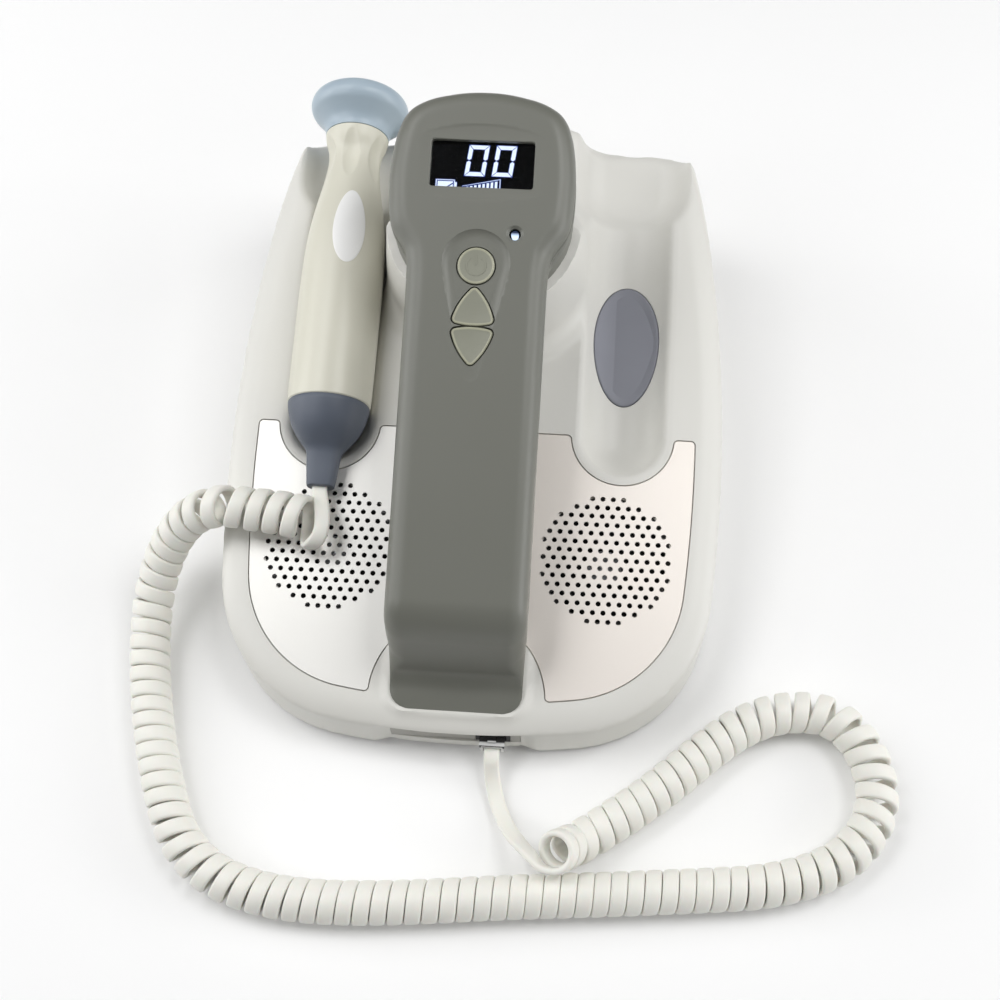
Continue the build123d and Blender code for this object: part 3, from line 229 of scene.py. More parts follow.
def flat_cable(name, line, out, width, thick):
    """A flat cable swept along a line; out is its broad face's direction at each point."""
    ahead = unit(np.gradient(line, axis=0))
    out = unit(out - (out * ahead).sum(1)[:, None] * ahead)
    side = np.cross(ahead, out)
    section = rounded_box(width, thick, thick * 0.42, steps=3)
    section.insert(4, (0.0, thick / 2 + 0.00012))    # the outer face swells a little over the middle wires
    section.insert(13, (0.0, -thick / 2))
    across, through_it = np.array(section).T[:, None, :, None]
    ring = len(section)
    verts = line[:, None, :] + side[:, None, :] * across + out[:, None, :] * through_it
    index = np.arange(len(line))[:, None] * ring + np.arange(ring)[None, :]
    after = np.roll(index, -1, axis=1)
    quads = np.stack([index[:-1], after[:-1], after[1:], index[1:]], -1).reshape(-1, 4)
    made = closed_mesh(name, verts.reshape(-1, 3).tolist(),
                       quads.tolist() + [index[0][::-1].tolist(), index[-1].tolist()])
    made.data.set_sharp_from_angle(angle=math.radians(50))
    return made


coil_route = [on_plate(*p) for p in ((-61.5, 7.6, 9.9), (-66.0, 8.2, 9.7), (-74.4, 9.4, 9.4), (-84.0, 10.0, 9.2))]
coil_route += [Vector(p) / 1000 for p in (
    (-95.5, -53.3, 50.0), (-108.5, -54.2, 42.0), (-119.6, -61.2, 28.4), (-126.0, -76.5, 14.6),
    (-125.0, -96.0, 9.4), (-121.2, -116.0, 8.0), (-115.2, -136.5, 8.0), (-108.2, -155.5, 8.0),
    (-100.0, -172.5, 8.0), (-86.0, -184.5, 8.0), (-66.0, -190.5, 8.0), (-42.0, -191.8, 8.0),
    (-12.0, -189.6, 8.0), (22.0, -185.4, 8.0), (58.0, -182.0, 8.0), (92.0, -178.4, 8.0),
    (120.0, -175.0, 8.0), (142.0, -167.0, 8.0), (155.5, -154.0, 8.0), (160.5, -138.0, 8.0),
    (156.0, -120.5, 8.0), (144.5, -108.6, 8.0), (128.5, -107.6, 8.0), (113.0, -112.6, 8.0),
    (98.0, -123.6, 8.0), (80.0, -140.6, 8.0), (66.0, -151.6, 8.0), (58.0, -157.4, 8.0),
    (51.6, -162.0, 8.2), (46.2, -165.8, 11.0), (42.8, -168.6, 16.4), (40.0, -171.4, 22.0), (37.2, -174.0, 30.0))]
axis, along = spline_points("coil_axis", coil_route, 0.0005)
to_end = along[-1] - along
ahead = unit(np.gradient(axis, axis=0))
bend = np.linalg.norm(np.gradient(ahead, along, axis=0), axis=1)
bend = np.convolve(np.pad(bend, 12, mode="edge"), np.ones(25) / 25, mode="valid")
up = np.zeros_like(axis)
up[0] = plate_way(0, 0, 1000)
for i, way in enumerate(ahead):
    before = up[max(i - 1, 0)]
    up[i] = before - way * (before @ way)
    up[i] /= np.linalg.norm(up[i])
rear = np.cross(up, ahead)
rear[:] = np.where(rear[0][1] > 0, rear, -rear)
# Its turns stand wider apart round a bend, at the boot and at its free end, and never quite evenly.
opened = 1 / np.clip(1 - COIL_RADIUS * bend, 0.45, 1.0)
opened *= (1 + 0.22 * near(along, 0.045) + 0.8 * near(to_end, 0.011)
           + 0.012 * np.sin(along * 70) + 0.008 * np.sin(along * 190))
turn = np.cumsum(2 * math.pi / (COIL_PITCH * opened) * np.gradient(along))
turn += math.radians(250) - turn[0]
wide = COIL_RADIUS * (1 + 0.14 * near(along, 0.05))
wide *= 1 + 0.16 * near(to_end, 0.008)
high = COIL_RADIUS * np.interp(along, [0, 0.05, along[-1] - 0.008, along[-1]], [1.04, 1.0, 1.0, 1.16])
fine = np.arange(turn[0], turn[-1], math.radians(360 / 30))
pick = lambda values: np.stack([np.interp(fine, turn, values[:, k]) for k in range(3)], 1)
centre, up_f, rear_f = pick(axis), pick(up), pick(rear)
wide_f, high_f = np.interp(fine, turn, wide), np.interp(fine, turn, high)
cable_line = centre + rear_f * (wide_f * np.cos(fine))[:, None] + up_f * (high_f * np.sin(fine))[:, None]
face = rear_f * (np.cos(fine) / wide_f)[:, None] + up_f * (np.sin(fine) / high_f)[:, None]
# The last turn ends where the cable heads most nearly for the plug.
leaves = np.diff(cable_line[-32:], axis=0) @ np.array((-0.93, 0.33, -0.15))
last = len(cable_line) - 31 + int(np.argmax(leaves))
cable_line, face = cable_line[:last], face[:last]
# From the boot it hooks down over the coil's first turn, and passes under it towards the plate.
hook = [on_plate(*p) for p in ((-58.6, 23.5, 6.4), (-58.6, 20.0, 6.7), (-56.4, 13.5, 10.2), (-54.8, 6.4, 13.0),
                               (-55.2, 0.2, 12.6), (-58.4, -2.6, 9.4))]
hook += [Vector(cable_line[0] - 5.0 * (cable_line[1] - cable_line[0])), Vector(cable_line[0])]
hook_line, hook_along = spline_points("cord_hook", hook, 0.0012)
share = (hook_along[:-1] / hook_along[-1])[:, None]
over = np.clip((share - 0.5) / 0.28, 0, 1)
under = np.clip((share - 0.78) / 0.22, 0, 1)
hook_face = plate_way(0, 0, 1) * 1000 * (1 - over) + plate_way(0, -1, 0) * 1000 * over
hook_face = hook_face * (1 - under) + unit(face[0]) * under
cable_line = np.concatenate([hook_line[:-1], cable_line])
face = np.concatenate([hook_face, face])
curly_cord = flat_cable("curly_cord_coil", cable_line, face, CORD_WIDTH, CORD_THICK)

# Soft thermoplastic polyurethane, extruded: an even satin skin, warm ivory, faintly translucent at its edges.
cord_jacket = moulded("ivory_polyurethane_jacket", "#F0EFE8", "#EBEAE2", 0.5, 0.012, 30.0, (0.42, 0.52), 1.5,
                      Subsurface_Weight=0.08, Subsurface_Scale=0.002)
curly_cord.data.materials.append(cord_jacket)
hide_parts("curly_cord")
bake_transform(curly_cord)

# ---------------------------------------------------------------- plug lead
# The same flat cable, left straight for its last stretch: it leaves the coil's last turn on edge,
# turns flat over the table and is clamped in the modular plug.
coil_end, coil_way = cable_line[-1] * 1000, unit(cable_line[-1] - cable_line[-2])
lead_route = [Vector(p) / 1000 for p in (
    coil_end, coil_end + 4.0 * coil_way, (32.0, -172.6, 19.6), (27.6, -167.6, 14.2), (23.6, -162.0, 8.4),
    (20.0, -155.6, 4.2), (17.2, -148.9, 2.8), (15.4, -142.4, 4.4), (14.5, -138.2, 7.6), (14.3, -134.8, 11.4),
    (14.3, -127.6, 11.5))]
lead_line, lead_along = spline_points("lead_axis", lead_route, 0.001)
lay = smooth(lead_along / lead_along[-1] / 0.6)[:, None]    # flat from 0.6 of its way on
lead_face = -unit(face[-1]) * (1 - lay) + np.array((0.0, 0.0, 1.0)) * lay
plug_lead = flat_cable("plug_lead_cable", lead_line, lead_face, CORD_WIDTH, CORD_THICK)
plug_lead.data.materials.append(cord_jacket)
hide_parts("plug_lead")
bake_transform(plug_lead)

# ---------------------------------------------------------------- base, upper cover
# The big upper shell of the base: injection-moulded ABS with a fine satin texture, one piece with the
# pedestal, the two side troughs and the recess for the connectors. Six screws from below close it.
# Millimetres from here on: x and y as in the world, up and over in the grille plane's own frame.
PLATE_Y, PLATE_Z = PLATE_ORIGIN.y * 1000, PLATE_ORIGIN.z * 1000
FRONT_Y, REAR_Y = -129.65, 123.15
FRONT_CORNER, REAR_CORNER = (89.3, FRONT_Y + 12.6), (80.9, REAR_Y - 1.0)    # before rounding
WIDEST = (97.6, PLATE_Y + 57.8)
ROLL_WIDTH, ROLL_ROUND = 9.5, 14.5
FOOT_UP = -45.0
PEDESTAL_UP, PEDESTAL_HIGH, PEDESTAL_FOOT, PEDESTAL_TOP = 121.0, 38.0, 42.0, 37.5
TROUGH_X, TROUGH_UP, TROUGH_OVER, TROUGH_ROUND = 58.2, 50.4, 5.8, 17.3
BOWL_UP, BOWL_FLOOR, BOWL_HALF, BOWL_FLARE = 163.0, -12.6, 18.5, 6.0 / 9.5
SPEAKER_X, PORT_ROUND = 53.6, 25.5
PAD_UP, PAD_HALF = 93.0, 13.0
SIDES = {"left": -1, "right": 1}
PLATE = Matrix.Translation(PLATE_ORIGIN) @ Matrix.Rotation(SLOPE, 4, "X")


def plate_coords(y, z):
    """Distance up the grille plane's slope, and height above it."""
    up, over = y - PLATE_Y, z - PLATE_Z
    return up * SLOPE_COS + over * SLOPE_SIN, over * SLOPE_COS - up * SLOPE_SIN


def round_union(a, b, r):
    """Two fields joined, with a fillet of radius r between them."""
    return np.maximum(r, np.minimum(a, b)) - np.hypot(np.maximum(r - a, 0), np.maximum(r - b, 0))


def round_cut(a, b, r):
    """What two fields share, with its edge rounded to radius r."""
    return np.minimum(-r, np.maximum(a, b)) + np.hypot(np.maximum(r + a, 0), np.maximum(r + b, 0))


def circle_through(a, b, c):
    """Centre and radius of the circle through three points."""
    m = np.array([[b[0] - a[0], b[1] - a[1]], [c[0] - a[0], c[1] - a[1]]], float)
    rhs = 0.5 * np.array([p[0] ** 2 - a[0] ** 2 + p[1] ** 2 - a[1] ** 2 for p in (b, c)])
    centre = np.linalg.solve(m, rhs)
    return centre, float(np.hypot(*(np.array(a) - centre)))


def inner_corner(one, other, r, near_to):
    """Centre of the circle of radius r that touches two larger circles from inside."""
    (a, ra), (b, rb) = one, other
    ra, rb = ra - r, rb - r
    span = b - a
    d = np.hypot(*span)
    on_line = (ra ** 2 - rb ** 2 + d ** 2) / (2 * d)
    aside = math.sqrt(ra ** 2 - on_line ** 2)
    way = span / d
    across = np.array([-way[1], way[0]])
    points = [a + way * on_line + across * s * aside for s in (-1, 1)]
    return min(points, key=lambda p: np.hypot(*(p - near_to)))


front_arc, rear_arc = [circle_through((-x, y), (0, edge), (x, y))
                       for (x, y), edge in ((FRONT_CORNER, FRONT_Y), (REAR_CORNER, REAR_Y))]
side_arc = circle_through(FRONT_CORNER, WIDEST, REAR_CORNER)
rounds = [(arc, r, inner_corner(arc, side_arc, r, np.array(corner)))
          for arc, r, corner in ((front_arc, 57.0, FRONT_CORNER), (rear_arc, 20.0, REAR_CORNER))]


def plan_distance(x, y):
    """Distance outside the base's plan outline."""
    x = np.abs(x)
    out = np.full_like(x, -1e9)
    for centre, radius in (front_arc, rear_arc, side_arc):
        out = np.maximum(out, np.hypot(x - centre[0], y - centre[1]) - radius)
    for arc, r, c in rounds:
        na, nb = [(c - o) / np.hypot(*(c - o)) for o in (arc[0], side_arc[0])]
        det = na[0] * nb[1] - na[1] * nb[0]
        px, py = x - c[0], y - c[1]
        inside = ((px * nb[1] - py * nb[0]) / det > 0) & ((na[0] * py - na[1] * px) / det > 0)
        out = np.where(inside, np.hypot(px, py) - r, out)
    return out


def base_field(x, y, z):
    """Distance outside the base, without its open underside."""
    v, h = plate_coords(y, z)
    ax = np.abs(x)
    wall = plan_distance(x, y)
    recess = smooth((33.0 - ax) / 8.0) * smooth((20.5 - z) / 1.6) * (y < 0)
    # the top face, which rolls down along the walls
    roll = np.clip(ROLL_WIDTH + wall, 0, 11.0)
    fall = np.sqrt(ROLL_ROUND ** 2 - roll ** 2)
    top = (h + (ROLL_ROUND - fall)) / np.sqrt(1 + (roll / fall) ** 2)
    # rise of the island around the handle's foot
    foot = np.hypot(np.maximum(ax - 18.4, 0), np.maximum(np.abs(v - FOOT_UP) - 10.0, 0)) - 6.5
    top = np.maximum(round_union(top, foot + 0.4, 5.0), h - 0.9)
    # pedestal, a cone that narrows upwards
    narrow = PEDESTAL_FOOT - PEDESTAL_TOP
    pedestal = np.hypot(ax, v - PEDESTAL_UP) - (PEDESTAL_FOOT - narrow / PEDESTAL_HIGH * h)
    pedestal = np.maximum(pedestal * math.cos(math.atan2(narrow, PEDESTAL_HIGH)), h - PEDESTAL_HIGH)
    top = round_union(top, pedestal, 8.0)
    # trough with its round front end, the flaring bowl behind it, and the relief under the probe's head
    tx = ax - TROUGH_X
    channel = np.sqrt(tx ** 2 + (h - TROUGH_OVER) ** 2 + np.minimum(v - TROUGH_UP, 0) ** 2) - TROUGH_ROUND
    back = np.where(v > BOWL_UP, np.abs(tx), np.hypot(tx, v - BOWL_UP))
    side = (back - (BOWL_HALF + BOWL_FLARE * (h + 9.5))) * math.cos(math.atan2(6.0, 9.5))
    bowl = round_cut(side, BOWL_FLOOR - h, 5.0)
    relief_round = np.interp(v, [178.4, 182.4, 187.0], [16.0, 19.2, 21.2])
    relief = np.maximum((np.hypot(tx, h - 6.5) - relief_round) * 0.85, 178.4 - v)
    hollow = round_union(channel, np.minimum(bowl, relief), 1.2)
    top = round_cut(top, -hollow, 1.9)
    edge = 0.6 + 7.5 * smooth((32.0 - np.abs(tx)) / 14.0) * (y > 60)
    return round_cut(top, wall + 2.0 * recess, edge)


def cover_field(x, y, z):
    """The outside of the cover, down to its open lower edge."""
    return np.maximum(base_field(x, y, z), 2.5 - z)


def cavity_field(x, y, z):
    """The space inside the cover, 2.6 mm within its walls and open below."""
    return np.maximum(base_field(x, y, z) + 2.6, np.maximum(-1.0 - z, np.abs(x) - 97))


def skin(field, low, high, step):
    """Dual contouring of a field that is symmetric in x: half of the surface, from x = 0 outwards."""
    axes = [np.arange(a, b + step, step) for a, b in zip(low, high)]
    values = field(*np.meshgrid(*axes, indexing="ij"))
    cells = [n - 1 for n in values.shape]
    edges, ids, pts, nrm = [], [], [], []
    for axis in range(3):
        lo, hi = [slice(None)] * 3, [slice(None)] * 3
        lo[axis], hi[axis] = slice(0, -1), slice(1, None)
        a, b = values[tuple(lo)], values[tuple(hi)]
        i, j, k = np.nonzero((a < 0) != (b < 0))
        fa, fb = a[i, j, k], b[i, j, k]
        p = np.stack([axes[0][i], axes[1][j], axes[2][k]], 1)
        p[:, axis] += fa / (fa - fb) * step
        g = np.stack([field(*(p + d).T) - field(*(p - d).T) for d in np.eye(3) * 0.02], 1)
        g /= np.linalg.norm(g, axis=1)[:, None] + 1e-12
        other = [m for m in range(3) if m != axis]
        quad = []
        for shift in ((-1, -1), (0, -1), (0, 0), (-1, 0)):
            c = np.stack([i, j, k], 1)
            c[:, other] += shift
            ok = np.all((c >= 0) & (c < np.array(cells)), axis=1)
            f = np.where(ok, (c[:, 0] * cells[1] + c[:, 1]) * cells[2] + c[:, 2], -1)
            quad.append(f)
            ids.append(f[ok])
            pts.append(p[ok])
            nrm.append(g[ok])
        quad = np.stack(quad, 1)
        flip = (fa > 0) ^ (axis == 1)
        quad[flip] = quad[flip][:, ::-1]
        edges.append(quad[(quad >= 0).all(1)])
    ids, pts, nrm = np.concatenate(ids), np.concatenate(pts), np.concatenate(nrm)
    unique, inv = np.unique(ids, return_inverse=True)
    n = len(unique)
    count = np.bincount(inv, minlength=n)
    centre = np.stack([np.bincount(inv, pts[:, a], n) for a in range(3)], 1) / count[:, None]
    rel = ((pts - centre[inv]) * nrm).sum(1)
    rhs = np.stack([np.bincount(inv, nrm[:, a] * rel, n) for a in range(3)], 1)
    m = np.empty((n, 3, 3))
    for a in range(3):
        for b in range(3):
            m[:, a, b] = np.bincount(inv, nrm[:, a] * nrm[:, b], n)
    m += np.eye(3) * 0.05 * count[:, None, None] ** 0.5
    x = centre + np.linalg.solve(m, rhs[:, :, None])[:, :, 0]
    cell = np.stack(np.unravel_index(unique, cells), 1)
    lo = np.stack([axes[a][cell[:, a]] for a in range(3)], 1)
    x = np.clip(x, lo, lo + step)
    x[cell[:, 0] == 0, 0] = 0.0
    return x, np.searchsorted(unique, np.concatenate(edges))


def bake(made):
    """Apply an object's modifiers to its mesh."""
    mesh = bpy.data.meshes.new_from_object(made.evaluated_get(bpy.context.evaluated_depsgraph_get()))
    made.modifiers.clear()
    old = made.data
    mesh.name = old.name
    made.data = mesh
    bpy.data.meshes.remove(old)
    return made


def mirrored(name, field, low, high, step, place=Matrix()):
    """A closed mesh of a field's surface, skinned on one side and mirrored across x = 0. The field's
    millimetres stand in a frame that place brings into the world."""
    points, quads = skin(field, low, high, step)
    mesh = bpy.data.meshes.new(name)
    mesh.vertices.add(len(points))
    mesh.vertices.foreach_set("co", np.asarray(points / 1000, np.float32).ravel())
    mesh.loops.add(quads.size)
    mesh.loops.foreach_set("vertex_index", np.asarray(quads, np.int32).ravel())
    mesh.polygons.add(len(quads))
    mesh.polygons.foreach_set("loop_start", np.arange(0, quads.size, 4, dtype=np.int32))
    mesh.update(calc_edges=True)
    mesh.validate()
    half = placed(name, mesh)
    half.modifiers.new("mirror", "MIRROR").merge_threshold = 1e-5
    bake(half)
    half.data.transform(place)
    return half


def cut(made, *tools, operation="DIFFERENCE"):
    """Cut tools out of a mesh, one after another, and discard them."""
    for tool in tools:
        modifier = made.modifiers.new("cut", "BOOLEAN")
        modifier.operation = operation
        modifier.solver = "EXACT"
        modifier.object = tool
    bake(made)
    for tool in tools:
        mesh = tool.data
        bpy.data.objects.remove(tool)
        bpy.data.meshes.remove(mesh)
    return made


def fit(made, body, node=None, material=None, sharp=None):
    """Let a finished piece stand for a node and ride on a body. Shading is smooth, with sharp edges only
    where faces turn by more than sharp degrees."""
    if sharp:
        made.data.polygons.foreach_set("use_smooth", [True] * len(made.data.polygons))
        made.data.set_sharp_from_angle(angle=math.radians(sharp))
    if material:
        made.data.materials.append(material)
    if node:
        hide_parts(node)
    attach(made, body)


def stack(name, rings, place=Matrix()):
    """A closed solid over a stack of (outline, level) rings, which have one number of points. Their
    millimetres stand in a frame that place brings into the world."""
    count = len(rings[0][0])
    corners = [Vector((x, y, z)) / 1000 for outline, level in rings
               for (x, y), z in zip(outline, np.broadcast_to(level, count).tolist())]
    faces = [[i + count * k, (i + 1) % count + count * k, (i + 1) % count + count * (k + 1), i + count * (k + 1)]
             for k in range(len(rings) - 1) for i in range(count)]
    ends = [list(range(count))[::-1], list(range(len(corners) - count, len(corners)))]
    return closed_mesh(name, corners, faces + ends, place)


def prism(name, outline, low, high, place=Matrix()):
    """A straight solid over one outline, between two levels."""
    return stack(name, [(outline, low), (outline, high)], place)


def circle(x, y, radius, count=64, long=1.0):
    """An outline of a circle, or of an ellipse that is long times as long along y."""
    turns = [2 * math.pi * i / count for i in range(count)]
    return [(x + radius * math.cos(a), y + radius * long * math.sin(a)) for a in turns]


def lathed(name, profile, at=(0, 0), count=24, long=1.0, place=Matrix()):
    """A solid of circles, or of ellipses, that stand at (radius, level)."""
    return stack(name, [(circle(*at, r, count, long), level) for r, level in profile], place)


def rectangle(x0, y0, x1, y1):
    return [(x0, y0), (x1, y0), (x1, y1), (x0, y1)]


def grown(outline, by):
    """An outline moved outwards by a distance."""
    p = np.array(outline)
    ahead, back = unit(np.roll(p, -1, 0) - p), unit(p - np.roll(p, 1, 0))
    way = np.stack([ahead[:, 1] + back[:, 1], -ahead[:, 0] - back[:, 0]], 1)
    way /= (1 + (ahead * back).sum(1))[:, None]
    return (p + by * way).tolist()


def face_outline(node, rounding):
    """The outer outline of a node's face in the grille plane, as x and distance up the slope in
    millimetres, anticlockwise, with its corners rounded."""
    flat = bmesh.new()
    flat.from_mesh(parts[node].data)
    bmesh.ops.remove_doubles(flat, verts=flat.verts, dist=2e-6)
    lift = Vector((0, -SLOPE_SIN, SLOPE_COS))
    tops = {f for f in flat.faces
            if f.normal @ lift > 0.999 and (f.calc_center_median() - PLATE_ORIGIN) @ lift > -1e-4}
    rim = {}
    for edge in flat.edges:
        mine = [f for f in edge.link_faces if f in tops]
        if len(mine) == 1:
            for loop in mine[0].loops:
                if loop.edge == edge:
                    rim[loop.vert] = loop.link_loop_next.vert
    rings = []
    while rim:
        start, vert = next(iter(rim.items()))
        ring = [start]
        while vert in rim and vert is not start:
            ring.append(vert)
            vert = rim.pop(vert)
        rim.pop(start, None)
        rings.append(ring)
    ring = max(rings, key=lambda r: sum((a.co - b.co).length for a, b in zip(r, r[1:])))
    points = [(v.co.x * 1000, plate_coords(v.co.y * 1000, v.co.z * 1000)[0]) for v in ring]
    flat.free()
    plan = bmesh.new()
    plan.faces.new([plan.verts.new((*p, 0)) for p in points])
    plan.normal_update()
    sharp = []
    for vert in plan.verts:
        a, b = [(e.other_vert(vert).co - vert.co).normalized() for e in vert.link_edges]
        if a.angle(b) < math.radians(150):
            sharp.append(vert)
    bmesh.ops.bevel(plan, geom=sharp, offset=rounding, segments=6, profile=0.5, affect="VERTICES")
    face = max(plan.faces, key=lambda f: f.calc_area())
    outline = [(v.co.x, v.co.y) for v in face.verts]
    if face.normal.z < 0:
        outline.reverse()
    plan.free()
    return outline


base_shell = mirrored("base_shell", cover_field, (-0.75, -131.0, 0.9), (98.5, 125.5, 113.0), 1.5)
cavity = mirrored("cavity", cavity_field, (-1.75, -130.0, -4.0), (98.5, 124.0, 112.0), 3.5)
outlines = {side: face_outline("grille_plate_" + side, 1.6) for side in SIDES}
beds = [prism("bed", grown(outlines[side], 0.4), -1.3, 8, PLATE) for side in SIDES]
ports = [lathed("port", [(PORT_ROUND, level) for level in (-12, -1)], (sign * SPEAKER_X, 0), 48, place=PLATE)
         for sign in SIDES.values()]
pad_beds = [lathed("pad_bed", [(PAD_HALF + 0.35, level) for level in (-12.6, 10)], (sign * TROUGH_X, PAD_UP), 72,
                   26.35 / 13.35, PLATE) for sign in SIDES.values()]
slot = prism("slot", rectangle(-25, -136, 25, -120), 7.5, 18.5)
cut(base_shell, cavity, *beds, *ports, *pad_beds, slot)
# Injection-moulded ABS with a fine spark-eroded texture: warm pale grey, an even satin.
base_plastic = moulded("satin_abs_pale_grey", "#E0DFDA", "#DDDCD6", 0.7, 0.02, 60.0, (0.36, 0.46), 1.52)
fit(base_shell, "base", "base_top_cover", base_plastic, 38)

# ---------------------------------------------------------------- handle covers
# The carrying handle is two shells of dark olive grey ABS, closed along a line low on its sides: the
# upper one has the display's window, the keys and the leg's front, the lower one the underside and
# the collar that stands on the pedestal.
TILT_SIN, TILT_COS = math.sin(math.radians(10)), math.cos(math.radians(10))
HANDLE = PLATE @ Matrix.Translation((0, -0.011, 0.041)) @ Matrix.Rotation(math.radians(10), 4, "X")
ACROSS = Matrix(((0, 0, 1, 0), (1, 0, 0, 0), (0, 1, 0, 0), (0, 0, 0, 1)))   # a stack's levels run along x
POWER_L, WINDOW, LAMP = 105.5, (0, 143.6), (13.5, 117.8)
half_plan = [(25.9, -160), (25.9, -90), (25.9, -20), (25.9, 60), (25.9, 98), (26.5, 109), (28.2, 113.2),
             (30.4, 116.6), (32.4, 120), (33.7, 124.5), (34.3, 131), (34.6, 139), (34.1, 147), (33.1, 154),
             (32.0, 158), (30.4, 162), (27.2, 166), (21, 169.4), (14, 171.3), (7, 172.5), (0, 172.8), (-7, 172.5)]


def through(points, steps=6):
    """A smooth line through points, in short runs."""
    p = np.array(points, float)
    t = np.linspace(0, 1, steps, endpoint=False)[:, None]
    line = [0.5 * (2 * b + (c - a) * t + (2 * a - 5 * b + 4 * c - d) * t ** 2 + (3 * b - a - 3 * c + d) * t ** 3)
            for a, b, c, d in zip(p, p[1:], p[2:], p[3:])]
    return np.concatenate(line + [p[-2:-1]])


# Distances from the plan's outline, on a grid of half millimetres.
GRID_X, GRID_L = np.arange(-2, 46, 0.5), np.arange(-84, 182, 0.5)
plan_line = through(half_plan)
plan_x, plan_l = np.meshgrid(GRID_X, GRID_L, indexing="ij")
plan_table = np.full(plan_x.shape, 1e9)
for a, b in zip(plan_line, plan_line[1:]):
    run = b - a
    part = np.clip(((plan_x - a[0]) * run[0] + (plan_l - a[1]) * run[1]) / (run @ run), 0, 1)
    plan_table = np.minimum(plan_table, np.hypot(plan_x - a[0] - part * run[0], plan_l - a[1] - part * run[1]))
plan_table *= np.where(plan_x < np.interp(plan_l, plan_line[:, 1], plan_line[:, 0], right=-9), -1, 1)


def handle_distance(x, l):
    """Distance outside the handle's plan outline."""
    fx, fl = [np.clip((c - grid[0]) * 2, 0, len(grid) - 1.001) for c, grid in ((x, GRID_X), (l, GRID_L))]
    i, j = fx.astype(int), fl.astype(int)
    fx, fl = fx - i, fl - j
    return ((plan_table[i, j] * (1 - fl) + plan_table[i, j + 1] * fl) * (1 - fx)
            + (plan_table[i + 1, j] * (1 - fl) + plan_table[i + 1, j + 1] * fl) * fx)


def handle_field(x, l, n):
    """Distance outside the handle; l runs along its top face and n stands on it."""
    x = np.abs(x)
    v, h = -11 + l * TILT_COS - n * TILT_SIN, 41 + l * TILT_SIN + n * TILT_COS
    # side view: top face, bend, steep front and the foot's top, each run into the next
    front = -0.936 * (v + 41) + 0.351 * (h - 26)
    upper = round_cut(n, front, 8.5)
    upper = round_union(upper, (h - np.interp(v, [-61.5, -50], [1.2, 3.6])) * 0.98, 4.5)
    under = round_union(-17 - n, 0.939 * (v + 30) - 0.345 * h, 10.0)
    # seen from above: the bar with its head, and the foot's rounded front
    half = 24.9 + 1.0 * smooth(h / 25)
    foot = np.hypot(np.maximum(x - half + 7.5, 0), np.maximum(-54 - v, 0)) - 7.5
    plan = np.maximum(handle_distance(x, l), np.where(l < 20, foot, -50))
    edge = 0.7 + 6.3 * smooth((h - 3) / 12)
    body = round_cut(round_cut(plan, upper, edge), under, 4.0)
    collar = np.maximum(np.maximum(np.hypot(x, v - PEDESTAL_UP) - 34.3, PEDESTAL_HIGH - h), n + 10)
    return np.maximum(round_union(body, collar, 1.5), -h)


handle_high = mirrored("handle_upper_shell", handle_field, (-0.625, -60.5, -40.1), (36.5, 175.0, 1.5), 1.25, HANDLE)
hollow = mirrored("hollow", lambda x, l, n: handle_field(x, l, n) + 2.2, (-1.25, -60.0, -40.0), (36.5, 173.0, 0.0),
                  2.5, HANDLE)
cut(handle_high, hollow)
handle_low = placed("handle_lower_shell", handle_high.data.copy())
handle_low.data.name = "handle_lower_shell"


def parting(shift):
    """The room behind the line along which the two covers meet, moved by shift."""
    level = lambda v: 41 + (v + 11) * TILT_SIN / TILT_COS - 9 / TILT_COS + shift
    side_view = [(194, level(194)), (-22 - shift, level(-22)), (-35.75 - shift, level(-35.75) - 6),
                 (-35.75 - shift, -5), (194, -5)]
    return prism("parting", side_view, -60, 60, PLATE @ ACROSS)


cut(handle_low, parting(-0.15), operation="INTERSECT")
cut(handle_high, parting(0.15))


def teardrop(inset, tail=(66.0, 3.5), head=(106.5, 12.6)):
    """The scoop's outline, moved inwards: a round head that tapers to a small round end, each given by
    its place and radius."""
    (l0, r0), (l1, r1) = tail, head
    lean = math.asin((r1 - r0) / (l1 - l0))
    big, small = [[(-way * math.cos(a) * (r - inset), l + way * math.sin(a) * (r - inset)) for a in arc]
                  for way, r, l, arc in ((1, r1, l1, np.linspace(-lean, math.pi + lean, 96)),
                                         (-1, r0, l0, np.linspace(lean, math.pi - lean, 24)))]
    down, back = [[tuple(np.array(p) + (np.array(q) - np.array(p)) * t) for t in np.linspace(0, 1, 14)[1:-1]]
                  for p, q in ((big[-1], small[0]), (small[-1], big[0]))]
    return big + down + small + back


depth = 0.10 + 1.05 * smooth((np.array([l for x, l in teardrop(0)]) - 76) / 34)
scoop_rings = [(teardrop(inset), -depth * part) for inset, part in
               ((3.3, 1.0), (2.6, 0.96), (1.9, 0.86), (1.2, 0.68), (0.6, 0.42), (0.2, 0.14), (0.0, -0.02))]
scoop = stack("scoop", scoop_rings + [(teardrop(-0.05), 3.0)], HANDLE)


window_hole = stack("window", [(rounded_box(*sizes, WINDOW), level) for *sizes, level in (
    (38.2, 17.8, 1.2, -6), (38.2, 17.8, 1.2, -0.45), (39.14, 18.74, 1.6, 0.02), (39.3, 18.9, 1.7, 1.1))], HANDLE)
lamp_hole = lathed("lamp_hole", ((2.15, -6), (2.15, -0.85), (3.22, 0.02), (3.3, 1.2)), LAMP, 40, place=HANDLE)
